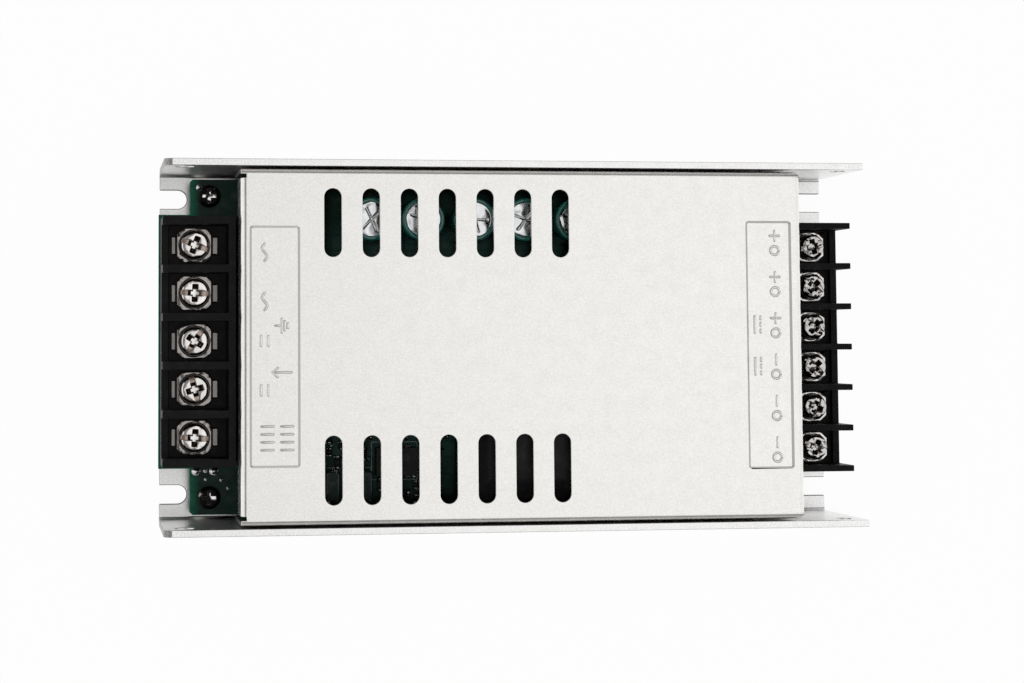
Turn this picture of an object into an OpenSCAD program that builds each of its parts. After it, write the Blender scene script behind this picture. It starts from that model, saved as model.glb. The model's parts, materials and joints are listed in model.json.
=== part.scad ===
// Slim enclosed switching power supply with screw terminals at both ends.
// Millimetres. X runs from the input end to the output end, Z is up.
// The origin is at the middle of the tray's underside.

/* [Tray] */
// Length of the tray
case_len = 162; // [158:1:190]
// Width of the tray
case_w = 84; // [82:1:96]
// Height of the tray walls
case_h = 30; // [30:0.5:38]
// Sheet thickness of the tray
tray_t = 1.6; // [1.2:0.1:2]
// Inside radius of the tray's folds
tray_fold_r = 1.2; // [0.6:0.1:2]
// Width of the open mounting notches
notch_w = 4.4; // [3.4:0.1:5]
// Depth of the notches at the input end
input_notch_depth = 6.4; // [5:0.1:7]
// Depth of the notches at the output end
output_notch_depth = 7.4; // [5:0.1:9]
// Distance between the two notches of one end
notch_span = 69.3; // [68:0.1:71]
// Diameter of the fixing holes in the walls
wall_hole_d = 4.2; // [3.2:0.1:4.6]
// Distance of the wall holes from the tray's end
wall_hole_end = 4.8; // [4:0.1:8]
// Distance of the wall holes below the wall's top edge
wall_hole_drop = 4.5; // [3.5:0.1:8]

/* [Cover] */
// Sheet thickness of the cover
cover_t = 1; // [0.8:0.1:1]
// Outside radius of the cover's folds
cover_fold_r = 1.3; // [1.2:0.1:2]
// Distance of the cover's top below the wall's top edge
cover_drop = 0.3; // [0:0.1:1]
// Gap between the cover and each wall
cover_gap = 0.5; // [0.3:0.05:0.8]
// Gap between a terminal block and the cover's end
bay_gap = 0.5; // [0.3:0.1:2]
// Height of the cover's side flanges
side_flange_h = 17; // [12:0.5:18]
// Height of the cover's end flanges
end_flange_h = 10; // [6:0.5:11]
// Width of the relief cut beside the input end flange
relief_w = 0.9; // [0.6:0.1:2]
// Radius of the cover's closed corners at the output end
cover_corner_r = 1.2; // [0.6:0.1:1.2]
// Vent slots in each row
slot_count = 7; // [3:1:9]
// Distance from one vent slot to the next
slot_pitch = 8.7; // [6:0.1:10]
// Width of a vent slot
slot_w = 3.9; // [2:0.1:4.5]
// Length of a vent slot
slot_len = 15.4; // [8:0.1:20]
// Distance of each vent row's middle from the cover's side
slot_side = 12.2; // [11.6:0.1:18]
// Distance of the first slot from the cover's input edge
slot_first = 20.7; // [16:0.1:24]
// Diameter of the screws that hold the cover
cover_screw_d = 3; // [2.5:0.1:3]
// Distance between the two cover screws of one side
cover_screw_span = 90; // [60:1:100]
// Distance of the cover screws below the wall's top edge
cover_screw_drop = 7; // [6:0.1:9]

/* [Marking panels] */
// Depth of the pressed panels
panel_depth = 0.35; // [0.2:0.05:0.5]
// Width of the sloping edge of a pressed panel
panel_slope = 0.7; // [0.4:0.1:1.2]
// Distance of the input panel from the cover's edge
input_panel_edge = 1.9; // [1.8:0.1:4]
// Size of the input panel along the tray
input_panel_w = 11.4; // [6:0.1:13]
// Size of the input panel across the tray
input_panel_len = 54; // [30:1:60]
// Distance of the output panel from the cover's edge
output_panel_edge = 2.4; // [1.8:0.1:4]
// Size of the output panel along the tray
output_panel_w = 10.9; // [6:0.1:13]
// Size of the output panel across the tray
output_panel_len = 57; // [30:1:60]

/* [Circuit board] */
// Thickness of the circuit board
board_t = 1.6; // [1:0.1:2]
// Height of the spacers under the board
spacer_h = 4; // [3:0.1:5]
// Diameter of the spacers
spacer_d = 6; // [5.5:0.1:7]
// Gap between the board and each wall of the tray
board_gap = 1.4; // [1:0.1:2.5]
// Length of the corner cut-outs at the input end
board_cut_len = 6.9; // [6:0.1:8]
// How far the board reaches past each side of the input block
board_margin = 1.1; // [0.5:0.1:2]
// How far the board stands out of the input end
board_overhang = 0.4; // [0:0.1:1]
// Thickness of the insulating film on the tray's floor
film_t = 0.4; // [0.2:0.1:1]
// Diameter of the board screws
board_screw_d = 3; // [2.5:0.1:3]
// Place of the board screws between the board's long edge (0) and the input block (1)
board_screw_share = 0.4255; // [0.38:0.0005:0.48]
// Distance of the input board screws from the tray's end
input_screw_end = 11.3; // [10:0.1:14]
// Distance of the output board screws from the tray's end
output_screw_end = 22; // [20:0.1:24]

/* [Terminal blocks] */
// Height of the contact seats above the board
seat_h = 5; // [5:0.1:7]
// Height of the barriers above the board
barrier_h = 14.2; // [12:0.1:15]
// Height of the front lip above the contact seats
lip_h = 1.5; // [1:0.1:2]
// Width of the front lip
lip_w = 1.6; // [1:0.1:2]
// Thickness of the rear wall
rear_wall_t = 1.6; // [1.2:0.1:1.8]
// Thickness of the contact metal
contact_t = 1; // [0.6:0.1:1.2]
// Gap under the loosened clamp plate
clamp_gap = 0.3; // [0.2:0.05:0.8]
// Thickness of the clamp plates
clamp_t = 1.1; // [0.9:0.1:1.6]
// Gap between the clamp plate and the screw head
head_gap = 0.2; // [0.1:0.05:0.5]
// Width of the driver slot in the screw heads
driver_slot_w = 1.1; // [0.8:0.1:1.4]

/* [Input terminals] */
// Distance from one input pole to the next
input_pitch = 11; // [10.5:0.1:11.2]
// Thickness of the input barriers
input_barrier_t = 1.8; // [1.2:0.1:2]
// Depth of the input block along the tray
input_depth = 16.6; // [15.5:0.1:18]
// Distance of the input screws from the block's front
input_screw_front = 7.5; // [7:0.1:8]
// Sideways shift of the input block
input_shift = 1.2; // [-1.5:0.1:1.5]
// Diameter of the input screws
input_screw_d = 3.5; // [3:0.1:4]
// Diameter of the input screw heads
input_head_d = 6.4; // [6:0.1:7]
// Size of the input clamp plates
input_clamp_w = 7.8; // [7.6:0.1:8.2]

/* [Output terminals] */
// Distance from one output pole to the next
output_pitch = 9.5; // [9.2:0.1:9.6]
// Thickness of the output barriers
output_barrier_t = 1.4; // [1:0.1:1.6]
// Depth of the output block along the tray
output_depth = 14.6; // [14.4:0.1:18]
// How far the output block's lip stands back from the ends of its barriers
output_lip_back = 0.6; // [0:0.1:1.2]
// Distance of the output screws from the block's front
output_screw_front = 7.6; // [7:0.1:8]
// Sideways shift of the output block
output_shift = -0.6; // [-1:0.1:1]
// Diameter of the output screws
output_screw_d = 3; // [2.5:0.1:3.5]
// Diameter of the output screw heads
output_head_d = 5.6; // [5.2:0.1:6]
// Size of the output clamp plates
output_clamp_w = 7; // [6.6:0.1:7.2]

/* [Capacitors] */
// Diameter of the bulk capacitors
bulk_d = 10; // [8:0.1:11]
// Height of the bulk capacitors
bulk_h = 18.6; // [12:0.1:19.5]
// Distance from one bulk capacitor to the next
bulk_pitch = 11.9; // [11.2:0.1:12.4]
// Distance of the bulk capacitors from the centre line
bulk_y = 28.8; // [26:0.1:30]
// Diameter of the output capacitors
outcap_d = 10; // [8:0.1:10.5]
// Height of the output capacitors
outcap_h = 16; // [10:0.1:19.5]
// Distance from one output capacitor to the next
outcap_pitch = 11.4; // [11:0.1:12]

/* [Transformer] */
// Length of the transformer core along the tray
core_len = 30; // [26:0.5:32]
// Width of the transformer core across the tray
core_w = 26; // [22:0.5:27]
// Thickness of the transformer core
core_t = 11; // [9:0.1:12]
// Width of each core leg
core_leg = 5; // [4:0.1:5.5]
// Diameter of the core's middle post
core_post_d = 9; // [7:0.1:9.5]
// Diameter of the taped winding
winding_d = 18.4; // [15:0.1:18.8]

/* [Hidden] */
$fn = 48;
// How far cuts run past a face, how far joined shapes overlap, and the running gap round a screw
cut = 1;
lap = 0.1;
fit = 0.1;

// Poles of the terminal blocks
input_poles = 5;
output_poles = 6;

// Levels
board_z = tray_t + spacer_h;
deck = board_z + board_t;
cover_z = case_h - cover_drop;
seat_z = deck + seat_h;
clamp_z = seat_z + contact_t + clamp_gap;
head_z = clamp_z + clamp_t + head_gap;

// Cover extents
cover_x0 = -case_len / 2 + input_depth + bay_gap;
cover_x1 = case_len / 2 - output_depth - bay_gap;
cover_len = cover_x1 - cover_x0;
cover_w = case_w - 2 * tray_t - 2 * cover_gap;
cover_flat_w = cover_w - 2 * cover_fold_r;
slot_row_y = cover_w / 2 - slot_side;
panel_r = 1.6;
panel_facets = 32;

// Cover screws: countersunk in the wall, threaded in a drawn boss of the flange
sink_d = 2 * cover_screw_d - 0.2;
sink_h = 0.55 * cover_screw_d;
boss_wall = 1;
boss_rise = 1;
screw_past_boss = 0.4;

// Board extents
board_w = case_w - 2 * tray_t - 2 * board_gap;
board_end_gap = 0.5;
board_hole_d = board_screw_d + 4 * fit;
film_inset = 2;
film_hole_gap = 0.5;
board_x0 = -case_len / 2 - board_overhang;
board_x1 = case_len / 2 - board_end_gap;
shoulder_back = 1;
board_shoulder = cover_x1 - shoulder_back;
board_chamfer = 1.5;
input_block_w = input_poles * input_pitch + input_barrier_t;
board_screw_y = board_w / 2 - board_screw_share * (board_w / 2 - input_shift - input_block_w / 2);
spots = [
    [-case_len / 2 + input_screw_end, -board_screw_y],
    [-case_len / 2 + input_screw_end, board_screw_y],
    [case_len / 2 - output_screw_end, -board_screw_y],
    [case_len / 2 - output_screw_end, board_screw_y],
];
spacer_foot_d = spacer_d - 1.6;
spacer_bore_d = board_screw_d - 0.4;
board_head_d = 5.2;
board_head_h = 2.2;
board_shank_d = spacer_bore_d - 2 * fit;
board_shank_short = 0.6;
pan_edge = 0.8;

// Cross recesses: length, width and depth
board_recess = [3.2, 0.8, 1.2];
cover_recess = [3, 0.7, 1];

// Terminals
head_h = 2.4;
head_edge = 0.55;
driver_slot_depth = 0.7;
recess_share = 0.55;
recess_depth = 1.5;
recess_tip_len = 0.4;
recess_tip_w = 0.6;
collar_h = 0.4;
collar_wall = 0.8;
clip_share = 0.26;
dish = 0.35;
dish_gap = 0.4;
plate_gap = 2 * fit;
well_floor = 0.8;
well_gap = 0.3;
tip_gap = 0.4;
shank_len = head_z - deck - well_floor - tip_gap;
blade_w = 3.8;
blade_below = 1.6;
blade_behind = 1;
contact_inset = 0.1;
input_tongue = 1.2;
output_tongue = 0;
tap_wall = 1;
tap_len = 1.6;
input_turns = [-21, -3, 57, -74, -4];
output_turns = [12, -42, -38, -45, 66, -20];
function pole_y(i, poles, pitch) = ((poles - 1) / 2 - i) * pitch;

// First vent slot of a row
slot_x0 = cover_x0 + slot_first;

// The bay under the cover that the parts inside are laid out for. A place in it is the distance from the
// cover's input edge and from the centre line. Places spread with the bay, and parts shrink with its
// tightest side.
bay_len = 129.8;
bay_w = 78;
bay_h = 21.5;
bay_fill = min(cover_len / bay_len, board_w / bay_w, (cover_z - cover_t - deck) / bay_h);
function bay_x(d) = cover_x0 + d * cover_len / bay_len;
function bay_y(d) = d * board_w / bay_w;

// Capacitors: a grooved neck, and a scored top
bulk_count = 5;
bulk_mid = 53.9;
outcap_count = 5;
outcap_x = 118.4;
neck_z = 1.6;
neck_h = 0.9;
neck_depth = 0.35;
score_share = 0.62;
score_w = 0.5;
score_depth = 0.15;

// Leaded parts of the input side
lead_d = 0.8;
lead_stand = 2;
fuse_at = [6.3, 23];
fuse_d = 8.4;
fuse_h = 8;
fuse_lid_inset = 0.5;
fuse_lid_h = 0.4;
varistor_at = [5.9, 10];
varistor_d = 12;
varistor_t = 4;
thermistor_at = [5.9, -23.5];
thermistor_d = 10;
thermistor_t = 4.6;
filter_cap_at = [15.4, 14];
filter_cap_size = [8.5, 18, 15];
filter_cap_r = 1;
bridge_size = [15, 4, 12];
bridge_stand = 3;
bridge_pitch = 3.8;
bridge_at = [9.9, -33];
safety_x = 27.8;
safety_rows = [3, 12];
safety_d = 8;
safety_t = 3.4;

// Ring chokes: outer radius, inner radius and height of the core
filter_ring = [9.5, 5, 9];
filter_ring_at = [13.9, -8];
filter_arc = 140;
output_ring = [11, 5.5, 9];
output_ring_at = [98.9, -22];
output_arc = 330;
ring_lift = 1.6;
wire_layer = 1.4;
wire_gap = 0.2;

// Heat bars with power packages flat against one face
bar_t = 3;
bar_h = 19;
bar_screw_d = 3;
bar_head_d = 5.2;
bar_head_h = 2;
bar_recess = [3, 0.8, 1.1];
bar_packages = 2;
switch_bar_at = [54.8, 17];
switch_bar_len = 44;
switch_spacing = 18;
rectifier_bar_at = [96.9, 12];
rectifier_bar_len = 28;
rectifier_spacing = 13;
package = [10, 4.4, 15];
package_body_h = 9;
package_lift = 3.5;
package_hole_z = 12;
package_lead_pitch = 2.54;
package_lead_depth = 2.6;
tab_t = 1.3;

// Transformer, with its bobbin's axis across the tray
transformer_at = [66.4, -22.6];
winding_lift = 1;
winding_z = winding_lift + winding_d / 2;
window_w = core_w - 2 * core_leg;
window_len = core_len - 2 * core_leg;
bobbin_flange_t = 1.2;
bobbin_wall = 0.9;
bobbin_gap = 0.3;
bobbin_rim = 0.4;
bobbin_len = window_w - 2 * bobbin_gap;
bobbin_bore_d = core_post_d + 2 * bobbin_gap;
bobbin_tube_d = bobbin_bore_d + 2 * bobbin_wall;

// Small parts
chip_stand = 0.6;
chip_pin = [1.2, 0.6];
chip_pin_share = 0.6;
control_at = [37.8, -27];
control_size = [9.6, 6.4, 3.2];
opto_at = [88.8, -2];
opto_pitch = 8;
opto_size = [4.8, 6.4, 3.4];
film_cap_at = [26.2, -32.4];
film_cap_pitch = 7.6;
film_cap_size = [3.2, 6.6, 6.4];
film_cap_r = 0.8;
resistor_at = [33.1, -15];
resistor_pitch = 6;
resistor_d = 3.4;
resistor_len = 9;
resistor_reach = 6.4;

// Shared shapes

module round_rect(x, y, r) {
    square([x - 2 * r, y], center = true);
    square([x, y - 2 * r], center = true);
    for (sx = [-1, 1], sy = [-1, 1])
        translate([sx * (x / 2 - r), sy * (y / 2 - r)]) circle(r);
}

module stadium(len, w) {
    square([w, len - w], center = true);
    for (s = [-1, 1]) translate([0, s * (len - w) / 2]) circle(w / 2);
}

// A channel's outline: flat across the bottom, with both bottom corners rounded
module channel_outline(w, h, r) {
    translate([-w / 2, r]) square([w, h - r]);
    translate([-w / 2 + r, 0]) square([w - 2 * r, r + lap]);
    for (s = [-1, 1]) translate([s * (w / 2 - r), r]) circle(r);
}

// The profile of a sheet folded into a channel, open at the top
module channel(w, h, t, r_out) {
    difference() {
        channel_outline(w, h, r_out);
        translate([0, t]) channel_outline(w - 2 * t, h, r_out - t);
    }
}

// Runs a profile drawn across the tray along X from x0 to x1
module along(x0, x1) {
    translate([x0, 0, 0]) rotate([90, 0, 90]) linear_extrude(x1 - x0) children();
}

// Tray, film and board

// The open notches of one end: end is -1 at the input and 1 at the output
module notch_cuts(end, depth) {
    round_x = case_len / 2 - depth + notch_w / 2;
    for (side = [-1, 1]) translate([0, side * notch_span / 2, -cut]) {
        translate([end * round_x, 0, 0]) cylinder(h = tray_t + 2 * cut, d = notch_w);
        translate([end * (round_x + depth / 2), 0, tray_t / 2 + cut])
            cube([depth, notch_w, tray_t + 2 * cut], center = true);
    }
}

module cover_screw_places() {
    for (sx = [-1, 1], sy = [-1, 1])
        translate([sx * cover_screw_span / 2, sy * case_w / 2, case_h - cover_screw_drop])
            rotate([sy * 90, 0, 0]) children();
}

// A countersunk hole for a cover screw, drawn inwards from the outer face of the wall
module countersink() {
    cylinder(h = sink_h + fit, d1 = sink_d + 2 * fit, d2 = cover_screw_d + fit);
    cylinder(h = tray_t + cut, d = cover_screw_d + 2 * fit);
}

module base_tray() {
    color("gainsboro") difference() {
        along(-case_len / 2, case_len / 2) channel(case_w, case_h, tray_t, tray_fold_r + tray_t);
        notch_cuts(-1, input_notch_depth);
        notch_cuts(1, output_notch_depth);
        for (end = [-1, 1])
            translate([end * (case_len / 2 - wall_hole_end), 0, case_h - wall_hole_drop])
                rotate([90, 0, 0]) cylinder(h = case_w + 2 * cut, d = wall_hole_d, center = true);
        cover_screw_places() countersink();
        for (p = spots) translate([p[0], p[1], -cut])
            cylinder(h = tray_t + 2 * cut, d = spacer_foot_d + 2 * fit);
    }
}

// The board's outline: a wide middle, with a tongue under each terminal block
module board_outline(inset) {
    in_tongue = input_block_w / 2 + board_margin - inset;
    out_tongue = output_poles * output_pitch / 2 - inset;
    side = board_w / 2 - inset;
    x0 = board_x0 + inset;
    x1 = board_x1 - inset;
    cut_x = -case_len / 2 + board_cut_len + inset;
    polygon([
        [x0, input_shift - in_tongue], [x0, input_shift + in_tongue],
        [cut_x, input_shift + in_tongue], [cut_x, side - board_chamfer], [cut_x + board_chamfer, side],
        [board_shoulder - inset, side], [board_shoulder - inset, out_tongue + output_shift],
        [x1, out_tongue + output_shift], [x1, output_shift - out_tongue],
        [board_shoulder - inset, output_shift - out_tongue], [board_shoulder - inset, -side],
        [cut_x + board_chamfer, -side], [cut_x, board_chamfer - side], [cut_x, input_shift - in_tongue],
    ]);
}

// Holes in the board for the solder blades of one terminal block
module blade_slots(poles, pitch, screw_front, clamp_w) {
    for (i = [0:poles - 1]) translate([-blade_back(screw_front, clamp_w), pole_y(i, poles, pitch)])
        square([contact_t + 2 * fit, blade_w + 2 * fit], center = true);
}

module insulation_film() {
    color("#26282b") translate([0, 0, tray_t]) linear_extrude(film_t) difference() {
        board_outline(film_inset);
        for (p = spots) translate(p) circle(d = spacer_d + 2 * film_hole_gap);
    }
}

module circuit_board() {
    color("darkgreen") translate([0, 0, board_z]) linear_extrude(board_t) difference() {
        board_outline(0);
        for (p = spots) translate(p) circle(d = board_hole_d);
        input_place() blade_slots(input_poles, input_pitch, input_screw_front, input_clamp_w);
        output_place() blade_slots(output_poles, output_pitch, output_screw_front, output_clamp_w);
    }
}

module board_spacers() {
    color("silver") for (p = spots) translate(p) difference() {
        union() {
            cylinder(h = tray_t, d = spacer_foot_d);
            translate([0, 0, tray_t]) cylinder(h = spacer_h, d = spacer_d);
        }
        translate([0, 0, -cut]) cylinder(h = board_z + 2 * cut, d = spacer_bore_d);
    }
}

module board_screws() {
    color("#2b2b2e") for (p = spots) translate([p[0], p[1], deck]) {
        difference() {
            pan_head(board_head_d, board_head_h, pan_edge);
            cross_recess(board_head_h, board_recess);
        }
        translate([0, 0, board_shank_short - board_t - spacer_h])
            cylinder(h = board_t + spacer_h - board_shank_short + lap, d = board_shank_d);
    }
}

// Cover

// The pressed panel's shape, wide at the top, sloping in to its floor
module panel_press(at_x, w, len) {
    sliver = 0.01;
    $fn = panel_facets;
    translate([at_x, 0, cover_z - panel_depth]) hull() {
        linear_extrude(sliver)
            round_rect(w - 2 * panel_slope, len - 2 * panel_slope, panel_r - panel_slope / 2);
        translate([0, 0, panel_depth + sliver]) linear_extrude(sliver) round_rect(w, len, panel_r);
    }
}

module panels() {
    panel_press(cover_x0 + input_panel_edge + input_panel_w / 2, input_panel_w, input_panel_len);
    panel_press(cover_x1 - output_panel_edge - output_panel_w / 2, output_panel_w, output_panel_len);
}

// An end flange of width w at x, folded down from the top: way is 1 at the input and -1 at the output
module cover_end(x, way, w) {
    translate([x, w / 2, 0]) rotate([90, 0, 0]) linear_extrude(w) scale([way, 1]) {
        translate([0, cover_z - end_flange_h]) square([cover_t, end_flange_h - cover_fold_r]);
        translate([cover_fold_r, cover_z - cover_t]) square([cut, cover_t]);
        intersection() {
            translate([cover_fold_r, cover_z - cover_fold_r]) difference() {
                circle(cover_fold_r);
                circle(cover_fold_r - cover_t);
            }
            translate([0, cover_z - cover_fold_r]) square(cover_fold_r);
        }
    }
}

// What is cut off the two output corners to round them
module cover_corner_cuts() {
    r = cover_corner_r;
    for (side = [-1, 1]) translate([cover_x1 - r, side * (cover_w / 2 - r), 0]) difference() {
        translate([0, side > 0 ? 0 : -r - cut, 0]) cube([r + cut, r + cut, case_h]);
        translate([0, 0, -cut]) cylinder(h = case_h + 2 * cut, r = r);
    }
}

module cover_channel(x0, x1) {
    along(x0, x1) translate([0, cover_z]) mirror([0, 1])
        channel(cover_w, side_flange_h, cover_t, cover_fold_r);
}

module top_cover() {
    color("lightgray") difference() {
        union() {
            cover_channel(cover_x0 + cover_fold_r, cover_x1 - cover_fold_r);
            // The side flanges run out to the full length beside the relief cuts
            difference() {
                cover_channel(cover_x0, cover_x1);
                translate([(cover_x0 + cover_x1) / 2, 0, case_h])
                    cube([cover_len + 2 * cut, cover_flat_w, case_h], center = true);
            }
            cover_end(cover_x0, 1, cover_flat_w - 2 * relief_w);
            cover_end(cover_x1, -1, cover_flat_w);
            translate([0, 0, -cover_t]) panels();
            cover_screw_places() translate([0, 0, tray_t + cover_gap])
                cylinder(h = cover_t + boss_rise, d = cover_screw_d + 2 * boss_wall);
        }
        panels();
        cover_corner_cuts();
        for (i = [0:slot_count - 1], s = [-1, 1])
            translate([slot_x0 + i * slot_pitch, s * slot_row_y, cover_z - cover_t - cut])
                linear_extrude(cover_t + 2 * cut) stadium(slot_len, slot_w);
        cover_screw_places()
            cylinder(h = tray_t + cover_gap + cover_t + boss_rise + cut, d = cover_screw_d + 2 * fit);
    }
}

module cover_screws() {
    color("silver") cover_screw_places() difference() {
        union() {
            cylinder(h = sink_h, d1 = sink_d, d2 = cover_screw_d);
            cylinder(h = tray_t + cover_gap + cover_t + boss_rise + screw_past_boss, d = cover_screw_d);
        }
        cross_recess(0, cover_recess);
    }
}

// Screws

// A head with a flat top and a rounded edge
module pan_head(d, h, edge) {
    rotate_extrude() {
        square([d / 2 - edge, h]);
        square([d / 2, h - edge]);
        translate([d / 2 - edge, h - edge]) circle(edge);
    }
}

// A cross-shaped driver recess, cut into a face at height z
module cross_recess(z, recess) {
    for (a = [0, 90]) rotate([0, 0, a])
        translate([0, 0, z]) cube([recess[0], recess[1], 2 * recess[2]], center = true);
}

// The deep cross recess of a clamp screw, which narrows downwards
module narrowing_recess(z, recess) {
    for (a = [0, 90]) rotate([0, 0, a]) hull() {
        translate([0, 0, z]) cube([recess[0], recess[1], 2 * lap], center = true);
        translate([0, 0, z - recess[2]])
            cube([recess_tip_len * recess[0], recess_tip_w * recess[1], lap], center = true);
    }
}

// A clamp screw: a head with one full slot across a cross recess, on a collar
module clamp_screw(d, head_d) {
    difference() {
        translate([0, 0, collar_h]) pan_head(head_d, head_h, head_edge);
        translate([0, 0, collar_h + head_h])
            cube([head_d + cut, driver_slot_w, 2 * driver_slot_depth], center = true);
        narrowing_recess(collar_h + head_h, [recess_share * head_d, driver_slot_w, recess_depth]);
    }
    cylinder(h = collar_h, d = d + 2 * collar_wall);
    translate([0, 0, -shank_len]) cylinder(h = shank_len, d = d);
}

// A clamp plate: a square washer with clipped corners and a shallow round dish
module clamp_plate(size, d, head_d) {
    clip = clip_share * size;
    half = size / 2;
    difference() {
        linear_extrude(clamp_t) polygon([
            [half, half - clip], [half - clip, half], [clip - half, half], [-half, half - clip],
            [-half, clip - half], [clip - half, -half], [half - clip, -half], [half, clip - half],
        ]);
        translate([0, 0, clamp_t - dish]) cylinder(h = dish + cut, d = head_d + 2 * dish_gap);
        translate([0, 0, -cut]) cylinder(h = clamp_t + 2 * cut, d = d + 2 * plate_gap);
    }
}

// Terminal blocks, drawn with the wire side facing +X and the front face at X = 0

module input_place() {
    translate([-case_len / 2, input_shift]) rotate(180) children();
}

module output_place() {
    translate([case_len / 2, output_shift]) children();
}

// Distance of a contact's solder blade behind the block's front
function blade_back(screw_front, clamp_w) = screw_front + clamp_w / 2 + blade_behind;

module contact(screw_front, clamp_w, d, tongue) {
    back = blade_back(screw_front, clamp_w);
    difference() {
        union() {
            translate([-screw_front, 0, 0]) cylinder(h = contact_t, d = clamp_w - 2 * contact_inset);
            translate([-back - contact_t / 2, -blade_w / 2, 0])
                cube([back + contact_t / 2 - screw_front + clamp_w / 2 + tongue, blade_w, contact_t]);
            translate([-screw_front, 0, -tap_len]) cylinder(h = tap_len + contact_t, d = d + 2 * tap_wall);
        }
        translate([-screw_front, 0, -tap_len - cut])
            cylinder(h = tap_len + contact_t + 2 * cut, d = d + 2 * fit);
    }
    blade_h = seat_h + board_t + blade_below;
    translate([-back - contact_t / 2, -blade_w / 2, -blade_h])
        cube([contact_t, blade_w, blade_h + contact_t]);
}

module contact_row(poles, pitch, screw_front, clamp_w, d, tongue) {
    for (i = [0:poles - 1]) translate([0, pole_y(i, poles, pitch), seat_z])
        contact(screw_front, clamp_w, d, tongue);
}

module terminal_body(poles, pitch, depth, barrier_t, lip_back, screw_front, clamp_w, d) {
    w = poles * pitch + barrier_t;
    back = blade_back(screw_front, clamp_w);
    well_d = d + 2 * tap_wall + 2 * well_gap;
    well_depth = seat_h - well_floor;
    translate([0, 0, deck]) difference() {
        union() {
            translate([-depth, -w / 2, 0]) cube([depth - lip_back, w, seat_h]);
            translate([-lip_back - lip_w, -w / 2, 0]) cube([lip_w, w, seat_h + lip_h]);
            translate([-depth, -w / 2, 0]) cube([rear_wall_t, w, barrier_h]);
            for (i = [0:poles]) translate([-depth, -w / 2 + i * pitch, 0])
                cube([depth, barrier_t, barrier_h]);
        }
        for (i = [0:poles - 1]) translate([0, pole_y(i, poles, pitch), 0]) {
            translate([-screw_front, 0, seat_h - well_depth]) cylinder(h = well_depth + cut, d = well_d);
            translate([-back, 0, seat_h / 2])
                cube([contact_t + 4 * fit, blade_w + 4 * fit, seat_h + 2 * cut], center = true);
        }
    }
}

module input_terminal_body() {
    color("#1c1c1e") input_place()
        terminal_body(input_poles, input_pitch, input_depth, input_barrier_t, 0,
            input_screw_front, input_clamp_w, input_screw_d);
}

module output_terminal_body() {
    color("#1c1c1e") output_place()
        terminal_body(output_poles, output_pitch, output_depth, output_barrier_t, output_lip_back,
            output_screw_front, output_clamp_w, output_screw_d);
}

module input_contacts() {
    color("silver") input_place()
        contact_row(input_poles, input_pitch, input_screw_front, input_clamp_w,
            input_screw_d, input_tongue);
}

module output_contacts() {
    color("silver") output_place()
        contact_row(output_poles, output_pitch, output_screw_front, output_clamp_w,
            output_screw_d, output_tongue);
}

// Pole i of a block, counted from the +Y side of the tray
module input_pole(i) {
    translate([-case_len / 2 + input_screw_front, input_shift + pole_y(i, input_poles, input_pitch), 0])
        children();
}

module output_pole(i) {
    translate([case_len / 2 - output_screw_front, output_shift + pole_y(i, output_poles, output_pitch), 0])
        children();
}

module input_clamp(i) {
    color("silver") input_pole(i) translate([0, 0, clamp_z])
        clamp_plate(input_clamp_w, input_screw_d, input_head_d);
}

module input_screw(i) {
    color("silver") input_pole(i) translate([0, 0, head_z]) rotate([0, 0, input_turns[i]])
        clamp_screw(input_screw_d, input_head_d);
}

module output_clamp(i) {
    color("silver") output_pole(i) translate([0, 0, clamp_z])
        clamp_plate(output_clamp_w, output_screw_d, output_head_d);
}

module output_screw(i) {
    color("silver") output_pole(i) translate([0, 0, head_z]) rotate([0, 0, output_turns[i]])
        clamp_screw(output_screw_d, output_head_d);
}

// Parts on the board

// Puts a part on the board at a place in the bay
module on_board(at, lift = 0) {
    translate([bay_x(at[0]), bay_y(at[1]), deck]) scale(bay_fill) translate([0, 0, lift]) children();
}

// Round leads from the board up to a part, at the given places round its middle
module leads(places, h) {
    for (p = places) translate([p[0], p[1], 0]) cylinder(h = h, d = lead_d);
}

// A coated disc on two leads, standing across the tray
module disc_part(at, d, t) {
    on_board(at) leads([[0, -d / 4], [0, d / 4]], lead_stand + d / 4);
    on_board(at, lead_stand + d / 2) rotate([0, 90, 0]) cylinder(h = t, d = d, center = true);
}

// An upright can with a grooved neck and a scored top
module can(d, h) {
    difference() {
        cylinder(h = h, d = d);
        translate([0, 0, neck_z]) difference() {
            cylinder(h = neck_h, d = d + cut);
            translate([0, 0, -cut]) cylinder(h = neck_h + 2 * cut, d = d - 2 * neck_depth);
        }
        for (a = [0, 60, 120]) rotate([0, 0, a])
            translate([0, 0, h]) cube([score_share * d, score_w, 2 * score_depth], center = true);
    }
}

module fuse() {
    color("saddlebrown") on_board(fuse_at) {
        cylinder(h = fuse_h, d = fuse_d);
        translate([0, 0, fuse_h]) cylinder(h = fuse_lid_h, d = fuse_d - 2 * fuse_lid_inset);
    }
}

module varistor() {
    color("royalblue") disc_part(varistor_at, varistor_d, varistor_t);
}

module thermistor() {
    color("#23302a") disc_part(thermistor_at, thermistor_d, thermistor_t);
}

module filter_capacitor() {
    color("khaki") on_board(filter_cap_at) linear_extrude(filter_cap_size[2])
        round_rect(filter_cap_size[0], filter_cap_size[1], filter_cap_r);
}

module bridge_rectifier() {
    color("#242427") {
        on_board(bridge_at) leads([for (k = [-1.5:1:1.5]) [k * bridge_pitch, 0]], bridge_stand + lap);
        on_board(bridge_at, bridge_stand + bridge_size[2] / 2) cube(bridge_size, center = true);
    }
}

module bulk_capacitors() {
    color("darkslategray") for (k = [0:bulk_count - 1])
        on_board([bulk_mid + (k - (bulk_count - 1) / 2) * bulk_pitch, bulk_y]) can(bulk_d, bulk_h);
}

module output_capacitors() {
    color("darkslategray") for (k = [0:outcap_count - 1])
        on_board([outcap_x, (k - (outcap_count - 1) / 2) * outcap_pitch]) can(outcap_d, outcap_h);
}

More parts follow.
